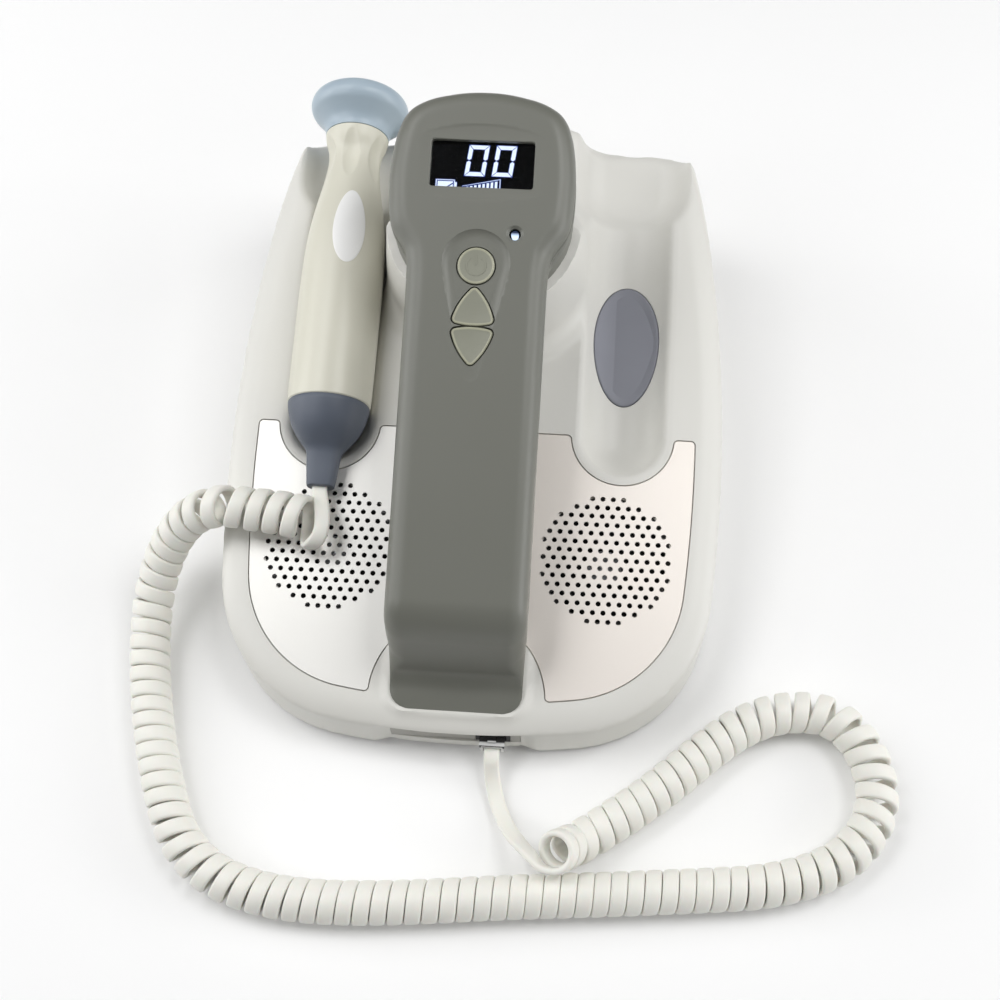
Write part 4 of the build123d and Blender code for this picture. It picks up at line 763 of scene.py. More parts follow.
# A shallow facet lies round the window, between two arcs, and runs out towards its ends.
facet_rings = []
for x in np.arange(-24, 24.1, 1.5).tolist():
    low, top, deep = 129.8 + 0.0042 * x * x, 158.9 - 0.008 * x * x, 0.33 * (1 - (x / 24) ** 2)
    facet_rings.append(([(top, 1.4), (low, 1.4), (low, 0.03), (low + 0.5, 0.03 - deep * 0.6),
                         (low + 1.3, 0.02 - deep), (top - 1.3, 0.02 - deep), (top - 0.5, 0.03 - deep * 0.6),
                         (top, 0.03)], x))
cut(handle_high, scoop, stack("facet", facet_rings, HANDLE @ ACROSS))


def key_outline(apex, base, grow):
    """Outline of the up or down key: a triangle with bulging sides and round corners."""
    sign = 1 if apex > base else -1
    tips = [(-7.5, base), (7.5, base), (0, apex)]
    waist = base + (apex - base) / 2 + sign * 0.5
    middles = [(0, base - sign * 1.0), (4.75, waist), (-4.75, waist)]
    sides = [circle_through(a, m, b) for a, m, b in zip(tips, middles, tips[1:] + tips[:1])]
    centres = [inner_corner(sides[i - 1], sides[i], 1.4, np.array(tips[i])) for i in range(3)]

    def swept(centre, radius, start, end, count, picked):
        turn = (end - start) % (2 * math.pi) if sign > 0 else -((start - end) % (2 * math.pi))
        turns = [start + turn * k / count for k in picked]
        return [tuple(centre + radius * np.array((math.cos(t), math.sin(t)))) for t in turns]

    outline = []
    for i in range(3):
        middle, radius = sides[i]
        a, b, c = [math.atan2(*(p - o)[::-1]) for p, o in (
            (centres[i], sides[i - 1][0]), (centres[i], middle), (centres[(i + 1) % 3], middle))]
        outline += swept(centres[i], 1.4 + grow, a, b, 10, range(11))
        outline += swept(middle, radius + grow, b, c, 12, range(1, 12))
    return outline if sign > 0 else outline[::-1]


key_plans = {"power": lambda grow: circle(0, POWER_L, 6.8 + grow, 72),
             "up": lambda grow: key_outline(97.5, 84.65, grow + 0.4),
             "down": lambda grow: key_outline(68.55, 81.4, grow + 0.4)}
key_holes = [prism("key_hole", key_plans[name](0.5), -8, 2, HANDLE) for name in key_plans]
cut(handle_high, window_hole, lamp_hole, *key_holes)
# Moulded ABS in a dark olive grey, with a fine even texture that takes the gloss down to a satin.
handle_plastic = moulded("satin_abs_olive_grey", "#70716A", "#6D6E66", 0.6, 0.02, 40.0, (0.36, 0.46), 1.54)
fit(handle_high, "base", "handle_top_cover", handle_plastic, 38)
fit(handle_low, "base", "handle_bottom_cover", handle_plastic, 38)


# ---------------------------------------------------------------- display
# A liquid crystal module with a white backlight, behind a window of clear acrylic that is glued in from
# inside. Only its lit segments show: two slanted figures, a battery and a loudness wedge.
def refinish(material, *nodes):
    for node in nodes:
        for slot in parts[node].material_slots:
            slot.material = material


# Cast acrylic, polished: almost colourless, mirror-smooth, thin enough to see straight through.
acrylic, tree, shader = start_material("clear_cast_acrylic", Base_Color=linear("#F4F7F8"), Roughness=0.03, IOR=1.49,
                                       Transmission_Weight=1.0)
feed(tree, shader, "Roughness", noise(tree, 0.9, 2.0), 0.02, 0.07, 0.45, 0.8)
refinish(acrylic, "display_lens")
# Negative-mode display glass: the polariser is nearly black wherever no segment is lit, and the window is
# bonded to it, so that it gives hardly any reflection of its own.
refinish(moulded("black_polarised_display_glass", "#07080C", "#050609", 2.0, 0.0, 12.0, (0.25, 0.3), 1.52,
                 Specular_IOR_Level=0.06), "lcd_module")
refinish(moulded("white_led_light_guide", "#DDE4E8", "#CDD6DC", 1.0, 0.01, 5.0, (0.3, 0.4), 1.49), "status_lamp")

DISPLAY_N = -3.98


def lit_figure(left, low, wide=7.5, tall=11.75, stroke=1.55, lean=0.121, gap=0.13):
    """The six outer segments of a seven-segment figure, as outlines, leaning to the right."""
    half, waist = tall / 2, stroke * 0.42
    shapes = [[(gap, tall), (wide - gap, tall), (wide - stroke - gap, tall - stroke), (stroke + gap, tall - stroke)],
              [(0, tall - gap), (stroke, tall - stroke - gap), (stroke, half + waist), (stroke * 0.5, half + gap),
               (0, half + waist)]]
    shapes += [[(wide - x, y) for x, y in shapes[1]]]
    shapes += [[(x, tall - y) for x, y in shape] for shape in shapes]
    return [[(left + x + lean * y, low + y) for x, y in shape] for shape in shapes]


LINE = 134.6    # the signs' lower edge
lit = lit_figure(-6.67, 139.98) + lit_figure(3.46, 140.15)
# battery: case, cap and charge
lit += [rectangle(*r) for r in ((-17.0, LINE, -16.65, 138.3), (-16.6, 138.0, -10.0, 138.32),
                                (-10.25, LINE, -9.9, 137.95), (-9.85, 135.5, -9.2, 137.4))]
lit += [[(-10.6, 137.65), (-10.6, 137.2), (-14.4, LINE), (-16.3, 135.3), (-16.3, 137.65)],
        [(-13.6, LINE), (-10.6, LINE), (-10.6, 136.7)]]
# loudness wedge: its slanted top, its end and its bars
lit += [[(-7.1, 135.9), (6.9, 138.95), (6.9, 139.2), (-7.1, 136.1)], rectangle(6.6, LINE, 6.9, 138.9)]
lit += [[(x, LINE), (x + 0.95, LINE), (x + 0.95, 135.65 + (x + 7.1) * 0.2175), (x, 135.5 + (x + 7.1) * 0.2175)]
        for x in np.arange(-5.8, 6.0, 1.52).tolist()]


def lit_plane(name, by, level, colour, strength):
    """The lit shapes, grown by a distance, as flat glowing faces that look upwards."""
    verts, faces = [], []
    for outline in lit:
        area = sum(a[0] * b[1] - b[0] * a[1] for a, b in zip(outline, outline[1:] + outline[:1]))
        moved = grown(outline, by if area > 0 else -by)
        faces.append(list(range(len(verts), len(verts) + len(moved))))
        verts += [Vector((x, y, level)) / 1000 for x, y in moved]
    mesh = bpy.data.meshes.new(name)
    mesh.from_pydata(verts, [], faces)
    mesh.transform(HANDLE)
    shapes = bmesh.new()
    shapes.from_mesh(mesh)
    for face in shapes.faces:
        face.normal_update()
        if face.normal.z < 0:
            face.normal_flip()
    shapes.to_mesh(mesh)
    shapes.free()
    glow, tree, shader = start_material(name + "_glow", Base_Color=linear("#101418"), Roughness=0.4, IOR=1.52,
                                        Emission_Color=linear(colour))
    feed(tree, shader, "Emission Strength", noise(tree, 2.5, 1.0), strength * 0.92, strength * 1.08)
    fit(placed(name, mesh), "base", material=glow)


# Backlight through open crystal: bluish white, with a saturated blue fringe where the polarisers part.
lit_plane("lit_segment_fringes", 0.14, DISPLAY_N, "#3558C8", 0.8)
lit_plane("lit_segments", -0.03, DISPLAY_N + 0.04, "#E9F3FF", 1.25)

# ---------------------------------------------------------------- status lamp
# A clear light pipe stands in a chamfered hole beside the keys; the diode under it shines from one side.
pipe_y = (HANDLE @ (Vector((*LAMP, -1)) / 1000)).y
light_pipe, tree, shader = start_material("lit_acrylic_light_pipe", Base_Color=linear("#1B2A4A"), Roughness=0.12,
                                          IOR=1.49, Emission_Color=linear("#CFE4FF"))
split = add_node(tree, "ShaderNodeSeparateXYZ", links={"Vector": own_place(tree)})
feed(tree, shader, "Emission Strength", split.outputs["Y"], 0.03, 1.5, pipe_y + 0.0007, pipe_y - 0.0006)
refinish(light_pipe, "light_pipe")

# ---------------------------------------------------------------- power, up and down keys
# Three key caps moulded in silicone-coated ABS, a shade lighter than the handle, with a raised rim; a
# flange under the cover keeps them in. The power key carries the usual standby sign in low relief.
KEY_RINGS = ((0.0, -5.3), (0.0, -3.3), (0.5, -3.25), (0.5, -2.55), (0.0, -2.5), (0.0, -0.85), (-0.06, -0.65),
             (-0.22, -0.5), (-0.42, -0.45), (-0.62, -0.47), (-0.9, -0.53))
# Satin ABS in olive grey; the raised rim's small faces get a paler, glossier plastic, a painted highlight along the
# rounded rim.
key_plastic = moulded("satin_abs_key_grey", "#8A8B7E", "#868779", 0.5, 0.012, 12.0, (0.38, 0.46), 1.52)
rim_highlight_plastic = moulded("polished_abs_key_rim", "#AAAA95", "#A3A38E", 0.5, 0.0, 12.0, (0.25, 0.32), 1.52)
around_gap = np.linspace(0.62, 2 * math.pi - 0.62, 44)
sign_arc = [(r * math.sin(a), POWER_L + r * math.cos(a)) for r, turns in ((3.85, around_gap), (3.2, around_gap[::-1]))
            for a in turns]
sign_bar = rectangle(-0.33, POWER_L + 0.3, 0.33, POWER_L + 4.1)
for name, plan in key_plans.items():
    cap = stack(name + "_key_cap", [(plan(grow), level) for grow, level in KEY_RINGS], HANDLE)
    signs = [prism("sign", shape, -0.8, -0.42, HANDLE) for shape in (sign_arc, sign_bar)] if name == "power" else []
    with bpy.context.temp_override(active_object=cap, selected_editable_objects=[cap, *signs]):
        bpy.ops.object.join()
    cap.data.materials.append(key_plastic)
    for face in cap.data.polygons:
        middle = (HANDLE.inverted() @ face.center) * 1000
        # The raised rim's small faces, away from the standby sign, take the paler plastic: a painted highlight along
        # the rim.
        rim_highlight_face = -0.75 < middle.z < -0.44 and face.area < 3e-6
        face.material_index = int(rim_highlight_face and math.hypot(*middle.xy - Vector((0, POWER_L))) > 4.5)
    fit(cap, name + "_key", name + "_button", rim_highlight_plastic, 40)

# ---------------------------------------------------------------- probe
# The hand probe: a mushroom head of blue-grey ABS that holds the crystals, a turned-looking moulded body
# with finger flutes round its neck, and a rubber boot pushed into its end, which grips the cord.
PROBE = PLATE @ Matrix.Translation((-TROUGH_X / 1000, 0, 0.0065))
body_line = through([(54.0, 16.25), (54.5, 16.3), (60, 16.55), (70, 16.6), (85, 16.6), (101, 16.6), (121, 16.1),
                     (136, 14.4), (149.5, 11.9), (157, 10.85), (161, 10.6), (165, 10.95), (169.5, 12.4),
                     (173.5, 13.1), (176, 13.2)], 8)


def barrel(v):
    """The body's radius at a place along the probe."""
    return float(np.interp(v, body_line[:, 0], body_line[:, 1]))


def around(name, rings):
    """A closed solid of rings round the probe's axis, joined in a loop."""
    n, m = len(rings), len(rings[0])
    faces = [[i * m + j, i * m + (j + 1) % m, (i + 1) % n * m + (j + 1) % m, (i + 1) % n * m + j]
             for i in range(n) for j in range(m)]
    return closed_mesh(name, [Vector(p) / 1000 for ring in rings for p in ring], faces, PROBE)


def turned(v, wide, high=None, square=2.0, count=96):
    """One ring round the probe's axis: round, or oval and squarer."""
    ring = []
    for j in range(count):
        c, d = math.sin(2 * math.pi * j / count), math.cos(2 * math.pi * j / count)
        ring.append((wide * math.copysign(abs(c) ** (2 / square), c), v,
                     (high or wide) * math.copysign(abs(d) ** (2 / square), d)))
    return ring


def fluted(v, radius, count):
    """One ring of the body's skin, hollowed where one of six finger flutes crosses it."""
    ring = []
    for j in range(count):
        a = 2 * math.pi * j / count
        nearest = (a - math.radians(30)) % math.radians(60) - math.radians(30)
        spread = ((v - 161.0) / 10.5) ** 2 + (radius * nearest / 3.5) ** 2
        r = radius - 1.35 * max(0.0, 1 - spread) ** 0.75
        ring.append((r * math.sin(a), v, r * math.cos(a)))
    return ring


stations = np.concatenate([[54.5, 54.9, 56.5], np.arange(60, 148, 4.0), np.arange(148, 173, 0.6), [173.1, 173.5]])
skin_rings = [fluted(v, barrel(v) - (0.4 if v in (54.5, 173.5) else 0.0), 144) for v in stations]
bore_rings = [turned(v, r, count=144) for v, r in ((173.5, 8.6), (146, 8.6), (112, 14.0), (54.5, 14.0))]
probe_body = around("probe_barrel", skin_rings + bore_rings)
# Moulded ABS in a warm ivory grey with a faint green cast, satin from a fine-blasted mould.
fit(probe_body, "probe", "probe_body",
    moulded("satin_abs_ivory_grey", "#DAD8CA", "#D6D4C5", 0.6, 0.012, 30.0, (0.32, 0.42), 1.52), 40)
head_line = through([(12.5, 172), (13.1, 173.6), (13.4, 175.6), (14.6, 178.0), (17.0, 180.6), (19.3, 182.9),
                     (20.3, 185.2), (20.3, 187.4), (19.3, 189.8), (17.0, 191.6), (13.0, 192.7), (7.0, 193.5),
                     (0.6, 193.8), (-6, 193.5)], 4)
head_bore = ((0.6, 191.5), (14.5, 189.0), (14.5, 186.0), (6.6, 184.0), (6.6, 167.5), (8.5, 167.5), (8.5, 173.4))
probe_head = around("probe_mushroom_head", [turned(float(v), float(r)) for r, v in (*head_line, *head_bore)])
# The head is the same plastic in blue grey, a little glossier from handling and gel.
fit(probe_head, "probe", "probe_cap",
    moulded("satin_abs_blue_grey", "#ABBBC7", "#A5B5C1", 0.8, 0.012, 20.0, (0.3, 0.4), 1.52), 50)
probe_boot = around("probe_boot_and_sleeve", [turned(*ring) for ring in (
    (60.5, 13.9), (54.45, 13.9), (54.45, 15.9), (54.1, 16.15), (52.5, 16.0), (50.5, 15.6), (47.5, 14.8), (44.5, 13.6),
    (42.0, 12.1, 11.9, 2.1), (40.0, 10.7, 10.1, 2.2), (38.2, 9.3, 8.3, 2.4), (36.8, 8.1, 6.9, 2.6),
    (35.4, 7.1, 5.9, 2.9), (33.6, 6.6, 5.3, 3.0), (28.0, 6.1, 4.9, 3.0), (22.0, 5.5, 4.5, 3.0), (21.2, 5.3, 4.3, 3.0),
    (21.0, 4.9, 3.9, 3.0), (21.0, 3.2, 1.6, 3.0), (40.0, 3.2, 1.6, 3.0), (60.5, 3.2, 1.6, 3.0))])
# The boot is soft thermoplastic rubber, darker and duller.
fit(probe_boot, "probe", "probe_boot",
    moulded("blue_grey_thermoplastic_rubber", "#5D6471", "#585F6B", 0.9, 0.02, 15.0, (0.42, 0.55), 1.5), 45)
refinish(moulded("sintered_piezo_ceramic", "#B9AF93", "#A79C80", 0.6, 0.02, 6.0, (0.5, 0.7), 1.9),
         "transducer_crystals")

# ---------------------------------------------------------------- probe label
# A blank oval sticker of white vinyl on the barrel, turned a little towards the handle.
label_rings = [(0.997, 0.02), (1.0, 0.1), (0.985, 0.15)] + [(0.92 - 0.1 * k, 0.15) for k in range(10)]
label = lathed("blank_oval_label", [(6.45 * part, level) for part, level in label_rings], (0, 126), 72, 16.5 / 6.45)
for vert in label.data.vertices:
    x, v, level = vert.co * 1000
    r = barrel(v) + level if level > 0.03 else 12.5
    a = x / 15.5 + math.radians(12.6)
    vert.co = PROBE @ (Vector((r * math.sin(a), v, r * math.cos(a))) / 1000)
# Calendered vinyl film, satin white.
fit(outwards(label), "probe", "probe_label",
    moulded("satin_white_vinyl", "#F8F8F7", "#F4F4F3", 1.2, 0.006, 20.0, (0.35, 0.45), 1.53), 50)

# ---------------------------------------------------------------- loudspeaker grilles
# Two plates of 1.2 mm aluminium, blanked and punched in one stroke with a round field of 2 mm holes,
# satin finished and glued into their beds, flush with the cover.
ROWS = (4, 7, 10, 11, 12, 13, 12, 13, 12, 13, 12, 11, 10, 7, 4)
HOLE_PITCH = 4.0


def start_group(name, output, **inputs):
    """A geometry node group with its sockets, each given by its kind, and the inputs' values."""
    tree = bpy.data.node_groups.new(name, "GeometryNodeTree")
    for socket, kind in inputs.items():
        tree.interface.new_socket(socket.replace("_", " "), in_out="INPUT", socket_type="NodeSocket" + kind)
    tree.interface.new_socket(output, in_out="OUTPUT", socket_type="NodeSocketGeometry")
    return tree, tree.nodes.new("NodeGroupInput").outputs


def end_group(tree, made, finish, output):
    """Make instances real, and give them their material."""
    whole = add_node(tree, "GeometryNodeRealizeInstances", links={"Geometry": made})
    finished = add_node(tree, "GeometryNodeSetMaterial", links={"Geometry": whole.outputs[0], "Material": finish})
    add_node(tree, "NodeGroupOutput", links={output: finished.outputs[0]})
    return tree


def run_group(made, tree, **values):
    """Run a node group on a piece, and keep what it makes."""
    modifier = made.modifiers.new(tree.name, "NODES")
    modifier.node_group = tree
    for name, value in values.items():
        socket = next(item for item in tree.interface.items_tree if item.name == name.replace("_", " "))
        modifier[socket.identifier] = value
    bake(made)


def punching_tree():
    """Nodes that punch a round hole through a plate at each point of a pattern."""
    tree, given = start_group("punched_plate", "Punched", Plate="Geometry", Pattern="Object", Hole_Diameter="Float",
                              Punch_Length="Float", Slope="Vector", Finish="Material")
    radius = add_node(tree, "ShaderNodeMath", {1: 0.5}, {0: given["Hole Diameter"]}, operation="MULTIPLY")
    punch = add_node(tree, "GeometryNodeMeshCylinder", {"Vertices": 20},
                     {"Radius": radius.outputs[0], "Depth": given["Punch Length"]})
    pattern = add_node(tree, "GeometryNodeObjectInfo", links={"Object": given["Pattern"]})
    punches = add_node(tree, "GeometryNodeInstanceOnPoints", links={
        "Points": pattern.outputs["Geometry"], "Instance": punch.outputs["Mesh"], "Rotation": given["Slope"]})
    solid = add_node(tree, "GeometryNodeRealizeInstances", links={"Geometry": punches.outputs[0]})
    punched = add_node(tree, "GeometryNodeMeshBoolean", links={"Mesh 1": given["Plate"], "Mesh 2": solid.outputs[0]},
                       operation="DIFFERENCE")
    return end_group(tree, punched.outputs["Mesh"], given["Finish"], "Punched")


def satin_metal(name, light, dark, rough, across_mm, along_mm):
    """A lapped metal face: reflections broken up by short fine scratches of the finishing belt."""
    material, tree, shader = start_material(name, Metallic=1.0)
    tint(tree, shader, noise(tree, 45, 2.0), dark, light)
    lay = add_node(tree, "ShaderNodeMapping", {"Scale": (1000 / across_mm, 1000 / along_mm, 1000 / across_mm)},
                   {"Vector": own_place(tree)})
    textured(tree, shader, noise(tree, 1000, 3.0, lay.outputs[0], Roughness=0.6), rough, 0.4, 0.00001)
    return material


# Belt-sanded aluminium, clear anodised on the left, with a faint champagne tint on the right.
finishes = {"left": satin_metal("clear_anodised_aluminium", "#E2E1DE", "#DDDCD8", (0.42, 0.55), 0.35, 1.2),
            "right": satin_metal("champagne_anodised_aluminium", "#EAE4DE", "#E5DFD8", (0.42, 0.55), 0.35, 1.2)}
punched_plate = punching_tree()
for side, sign in SIDES.items():
    plate = stack("grille_" + side, [(grown(outlines[side], -0.15), -1.2), (outlines[side], -1.1),
                                     (outlines[side], -0.14), (grown(outlines[side], -0.14), 0.0)], PLATE)
    holes = bpy.data.meshes.new("pattern")
    holes.from_pydata([on_plate(sign * SPEAKER_X + (i - (n - 1) / 2) * HOLE_PITCH,
                                (7 - row) * HOLE_PITCH * math.sqrt(3) / 2, -0.6)
                       for row, n in enumerate(ROWS) for i in range(n)], [], [])
    pattern = placed("pattern", holes)
    run_group(plate, punched_plate, Pattern=pattern, Hole_Diameter=0.002, Punch_Length=0.004, Slope=(SLOPE, 0.0, 0.0),
              Finish=finishes[side])
    bpy.data.objects.remove(pattern)
    fit(plate, "base", "grille_plate_" + side, sharp=35)

# ---------------------------------------------------------------- loudspeakers
# Two 2-inch drivers glued under the ports: pressed steel baskets, paper cones with a bright metal dust
# cap, ferrite magnets.
refinish(satin_metal("zinc_plated_steel_basket", "#A9ABAD", "#A0A2A4", (0.35, 0.5), 0.6, 0.6),
         "speaker_frame_left", "speaker_frame_right")
refinish(moulded("bare_ferrite", "#3A3A3C", "#333335", 0.8, 0.03, 6.0, (0.6, 0.75), 2.2),
         "speaker_magnet_left", "speaker_magnet_right")
for side, sign in SIDES.items():
    cone, tree, shader = start_material("pressed_black_paper_cone_" + side)
    middle = tuple(on_plate(sign * SPEAKER_X, 0, -10))
    off = add_node(tree, "ShaderNodeVectorMath", {1: middle}, {0: own_place(tree)}, operation="SUBTRACT")
    flat = add_node(tree, "ShaderNodeVectorMath", {1: (1, 1 / SLOPE_COS, 0)}, {0: off.outputs[0]},
                    operation="MULTIPLY")
    reach = add_node(tree, "ShaderNodeVectorMath", links={0: flat.outputs[0]}, operation="LENGTH").outputs["Value"]
    in_cap = spread(tree, reach, 1.0, 0.0, 0.0066, 0.0072)
    paper = mixed(tree, noise(tree, 0.4, 3.0), low="#0E0E0F", high="#1B1B1C")
    tree.links.new(mixed(tree, in_cap, {6: paper}, high="#D8DDE4"), shader.inputs["Base Color"])
    tree.links.new(in_cap, shader.inputs["Metallic"])
    feed(tree, shader, "Roughness", in_cap, 0.8, 0.22)
    refinish(cone, "speaker_cone_" + side)

# ---------------------------------------------------------------- trough pads
# An oval of soft blue-grey rubber, let into each trough's floor, keeps the probe from rattling.
# Compression-moulded nitrile rubber: dull, with a faint bloom that lightens it in patches.
pad_rubber = moulded("blue_grey_nitrile_rubber", "#93959F", "#878993", 0.9, 0.02, 30.0, (0.5, 0.62), 1.51)
for side, sign in SIDES.items():
    layers = [(1.0, -0.7), (1.0, 0.25), (0.99, 0.45), (0.97, 0.56)] + [(0.94 - 0.065 * k, 0.6) for k in range(14)]
    pad = lathed("rubber_pad_" + side, [(PAD_HALF * part, level) for part, level in layers], (0, PAD_UP), 96, 2.0)
    for vert in pad.data.vertices:
        x, v, level = vert.co * 1000
        a, r = math.asin(x / TROUGH_ROUND), TROUGH_ROUND - level
        vert.co = on_plate(sign * TROUGH_X + r * math.sin(a), v, TROUGH_OVER - r * math.cos(a))
    fit(outwards(pad), "base", "trough_pad_" + side, pad_rubber, 40)

# ---------------------------------------------------------------- connector panel and probe jack
# Behind the slot in the front stands a folded steel panel, painted grey, with slits for unused sockets;
# the six-way modular jack looks through its window.
# Painted steel: a thin satin coat with a slight orange peel.
refinish(moulded("grey_painted_steel", "#A8A6A0", "#9F9D97", 1.2, 0.01, 12.0, (0.3, 0.4), 1.5), "connector_panel")
# Glass-filled nylon, black and dull.
refinish(moulded("black_glass_filled_nylon", "#17171A", "#101012", 0.5, 0.02, 6.0, (0.5, 0.65), 1.53), "probe_jack")

# ---------------------------------------------------------------- modular plug
# A six-way modular plug of clear polycarbonate: its wedge clamps the flat lead, its gilded blades
# stand in slots, and its latch springs up on the table side.
# Its colour is painted by depth: near white behind, and near black on the part inside the jack, a painted shade for
# the jack's dark mouth.
polycarbonate, tree, shader = start_material("clear_moulded_polycarbonate", IOR=1.58, Transmission_Weight=0.35)
depth_in = add_node(tree, "ShaderNodeSeparateXYZ", links={"Vector": own_place(tree)})
# painted shade: the plug's front end turns near black where it enters the jack
painted_jack_shade = spread(tree, depth_in.outputs["Y"], 0.0, 1.0, -0.1304, -0.1298)
tint(tree, shader, painted_jack_shade, "#FBFCFB", "#1D1E22")
feed(tree, shader, "Roughness", noise(tree, 1.5, 1.0), 0.05, 0.2)
refinish(polycarbonate, "cord_plug")
gilt, tree, shader = start_material("gold_flashed_bronze", Metallic=1.0)
wear = noise(tree, 0.6, 3.0)
tint(tree, shader, wear, "#E3B75A", "#C89A48")
feed(tree, shader, "Roughness", wear, 0.2, 0.35)
refinish(gilt, "plug_contacts")
# The plug's rear edge is a low rib with a stud at each end, where the mould's two halves meet.
rib, *studs = [stack("plug_rear_rib", [(rounded_box(wide - less, deep - less, 0.2, (x, -131.3)), level)
                                       for less, level in ((0, 14.5), (0, 15.1), (0.2, 15.3))])
               for wide, deep, x in ((9.2, 0.55, 14.3), (0.6, 1.5, 9.9), (0.6, 1.5, 18.7))]
cut(rib, *studs, operation="UNION")
# Its edge is painted dark: a painted shade for the slot's shade seen through the clear plastic.
rib_painted_shade = moulded("smoked_polycarbonate_edge", "#2B2D33", "#232529", 0.6, 0.0, 3.0, (0.12, 0.2), 1.58)
fit(rib, "plug", material=rib_painted_shade, sharp=40)

# ---------------------------------------------------------------- base, lower cover and battery door
# A flat tray of the same ABS closes the base from below; it carries the board and the battery's cradle.
# The mould's underside was left with a coarser spark-eroded texture, which looks a little duller.
refinish(moulded("textured_abs_pale_grey", "#DDDCD6", "#D7D6CF", 0.9, 0.05, 40.0, (0.5, 0.62), 1.52),
         "base_bottom_cover", "battery_door")

# ---------------------------------------------------------------- rubber feet
# Four moulded rubber discs, glued into the corners of the tray.
refinish(moulded("black_moulded_rubber", "#2A2A2B", "#222223", 0.8, 0.03, 8.0, (0.6, 0.75), 1.52), "rubber_feet")


# ---------------------------------------------------------------- cover and handle screws
# Pan-head self-tapping screws of zinc-plated steel with a cross recess: six hold the tray, four the handle.
def screw_tree():
    """Nodes that set one finished screw on each point, with its head turned at random."""
    tree, given = start_group("set_screws", "Screws", Places="Geometry", Screw="Object", Length_Scale="Float",
                              Lean="Vector", Finish="Material", Seed="Int")
    screw = add_node(tree, "GeometryNodeObjectInfo", links={"Object": given["Screw"]})
    chance = add_node(tree, "FunctionNodeRandomValue", {0: (0, 0, 0), 1: (0, 0, 1.57)}, {"Seed": given["Seed"]},
                      data_type="FLOAT_VECTOR")
    lean = add_node(tree, "FunctionNodeEulerToRotation", links={0: given["Lean"]})
    spin = add_node(tree, "FunctionNodeEulerToRotation", links={0: chance.outputs[0]})
    both = add_node(tree, "FunctionNodeRotateRotation", links={0: lean.outputs[0], 1: spin.outputs[0]},
                    rotation_space="LOCAL")
    length = add_node(tree, "ShaderNodeCombineXYZ", {"X": 1.0, "Y": 1.0}, {"Z": given["Length Scale"]})
    screws = add_node(tree, "GeometryNodeInstanceOnPoints", links={
        "Points": given["Places"], "Instance": screw.outputs["Geometry"], "Rotation": both.outputs[0],
        "Scale": length.outputs[0]})
    return end_group(tree, screws.outputs[0], given["Finish"], "Screws")


one_screw = lathed("pan_head_screw", ((2.05, 0.0), (2.5, 0.12), (2.75, 0.45), (2.75, 1.15), (1.4, 1.15), (1.4, 8.2),
                                      (0.5, 9.1)))
cross = [stack("cross", [(rounded_box(w, t, 0.12), -1), (rounded_box(w * 0.7, t * 0.8, 0.1), 0.8)])
         for w, t in ((2.6, 0.6), (0.6, 2.6))]
cut(one_screw, *cross)
set_screws = screw_tree()
screw_steel = satin_metal("zinc_plated_screw_steel", "#B9BABB", "#AEAFB1", (0.28, 0.4), 0.3, 0.3)
cover_places = [(sign * x / 1000, y / 1000, 0.00255) for x, y in ((86.4, -70.05), (86.4, 29.95), (36.0, 103.95))
                for sign in (-1, 1)]
handle_places = [on_plate(sign * x, up, over) for x, up, over in ((24, 121.0, 34.3), (15, -45, -3.7))
                 for sign in (-1, 1)]
for node, places, lean in (("base_screws", cover_places, 0.0), ("handle_screws", handle_places, SLOPE)):
    spots = bpy.data.meshes.new(node)
    spots.from_pydata(places, [], [])
    screws = placed("set_of_" + node, spots)
    run_group(screws, set_screws, Screw=one_screw, Length_Scale=1.0, Lean=(lean, 0.0, 0.0), Finish=screw_steel,
              Seed=7)
    fit(screws, "base", node, sharp=35)
bpy.data.objects.remove(one_screw)

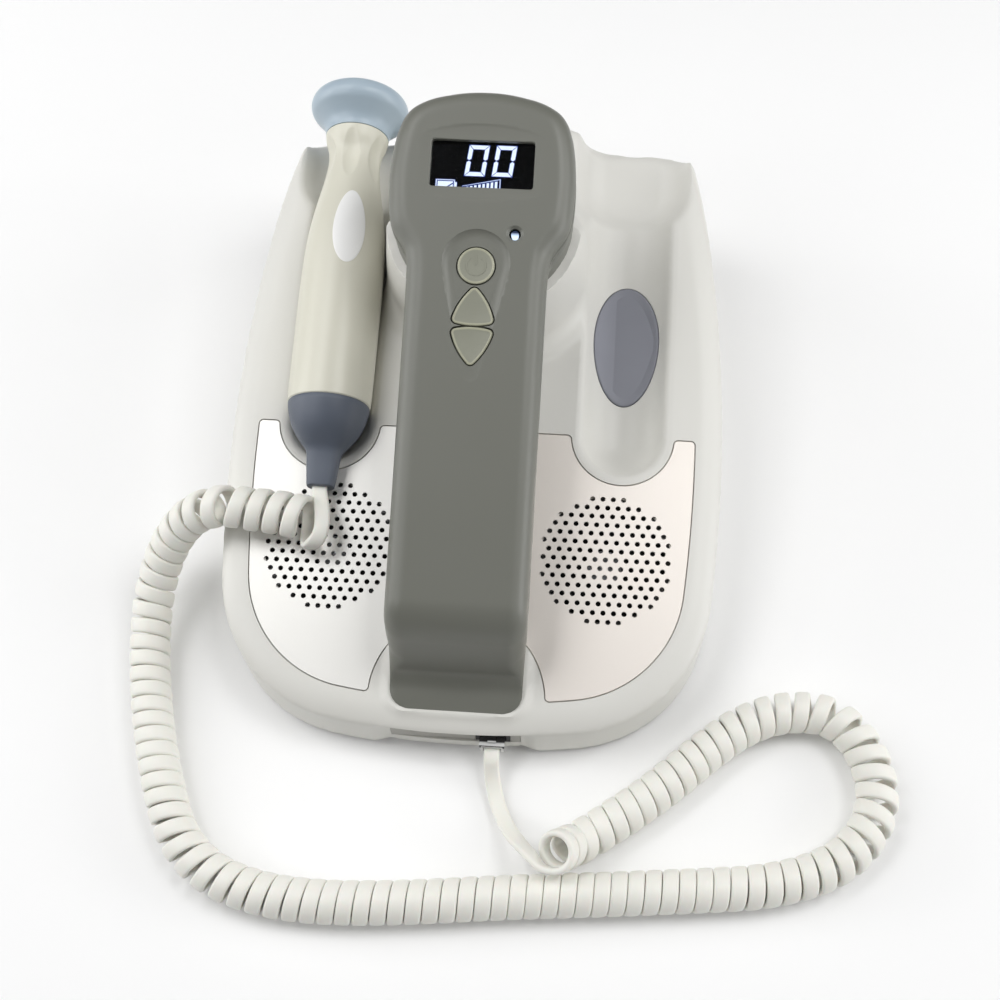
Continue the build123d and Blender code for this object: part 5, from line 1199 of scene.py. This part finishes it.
# ---------------------------------------------------------------- boards, battery and wiring
# Inside: green solder-masked boards with moulded components, tactile switches under the keys, a
# shrink-wrapped battery pack in its cradle, and a polyester ribbon from the handle to the main board.
for finish, nodes in (
        (("green_solder_mask", "#1F5A38", "#184B2E", 1.0, 0.02, 5.0, (0.25, 0.35), 1.55),
         ("main_board", "display_board", "probe_board")),
        (("black_epoxy_packages", "#26262A", "#1D1D20", 0.5, 0.02, 6.0, (0.45, 0.6), 1.55),
         ("board_components", "key_switches")),
        (("blue_pvc_shrink_film", "#2E4F93", "#284684", 3.0, 0.05, 25.0, (0.15, 0.25), 1.54), ("battery_pack",)),
        (("white_polyester_ribbon", "#D9D9D4", "#CFCFC9", 1.0, 0.02, 10.0, (0.3, 0.4), 1.57), ("ribbon_cable",))):
    refinish(moulded(*finish), *nodes)

# ---------------------------------------------------------------- table and studio light
# A seamless white sweep under large soft boxes.
bpy.context.scene.view_settings.view_transform = "Standard"
table_mesh = bpy.data.meshes.new("table")
grid = bmesh.new()
bmesh.ops.create_grid(grid, x_segments=1, y_segments=1, size=4)
grid.to_mesh(table_mesh)
grid.free()
table = placed("table", table_mesh)
white_paper = start_material("white_sweep_paper", Base_Color=linear("#FAFAFA"), Roughness=0.9)[0]
table_mesh.materials.append(white_paper)
LIT_SPOT = Vector((0, 0, 0.03))
for name, place, energy, size in (
        ("overhead_left_box", (-0.6, 0.1, 1.3), 5.0, 0.6), ("overhead_right_box", (0.6, 0.1, 1.3), 6.2, 0.6),
        ("left_box", (-1.15, 0.25, 0.75), 3.4, 0.7), ("right_box", (1.15, 0.25, 0.75), 3.9, 0.7),
        ("low_left_box", (-1.2, 0.0, 0.35), 3.4, 0.6), ("low_right_box", (1.2, -0.2, 0.35), 4.2, 0.6),
        ("front_left_box", (-0.8, -0.5, 0.9), 2.5, 0.6), ("front_right_box", (0.75, -0.7, 0.6), 0.9, 0.6),
        ("rear_box", (-0.45, 0.6, 1.2), 1.8, 0.8)):
    lamp_data = bpy.data.lights.new(name, "AREA")
    lamp_data.energy = energy
    lamp_data.size = size
    lamp = placed(name, lamp_data)
    lamp.location = place
    lamp.rotation_euler = (LIT_SPOT - lamp.location).to_track_quat("-Z", "Y").to_euler()
studio = bpy.data.worlds.new("studio")
bpy.context.scene.world = studio
studio.use_nodes = True
background = studio.node_tree.nodes["Background"]
background.inputs["Color"].default_value = (1, 1, 1, 1)
background.inputs["Strength"].default_value = 0.05
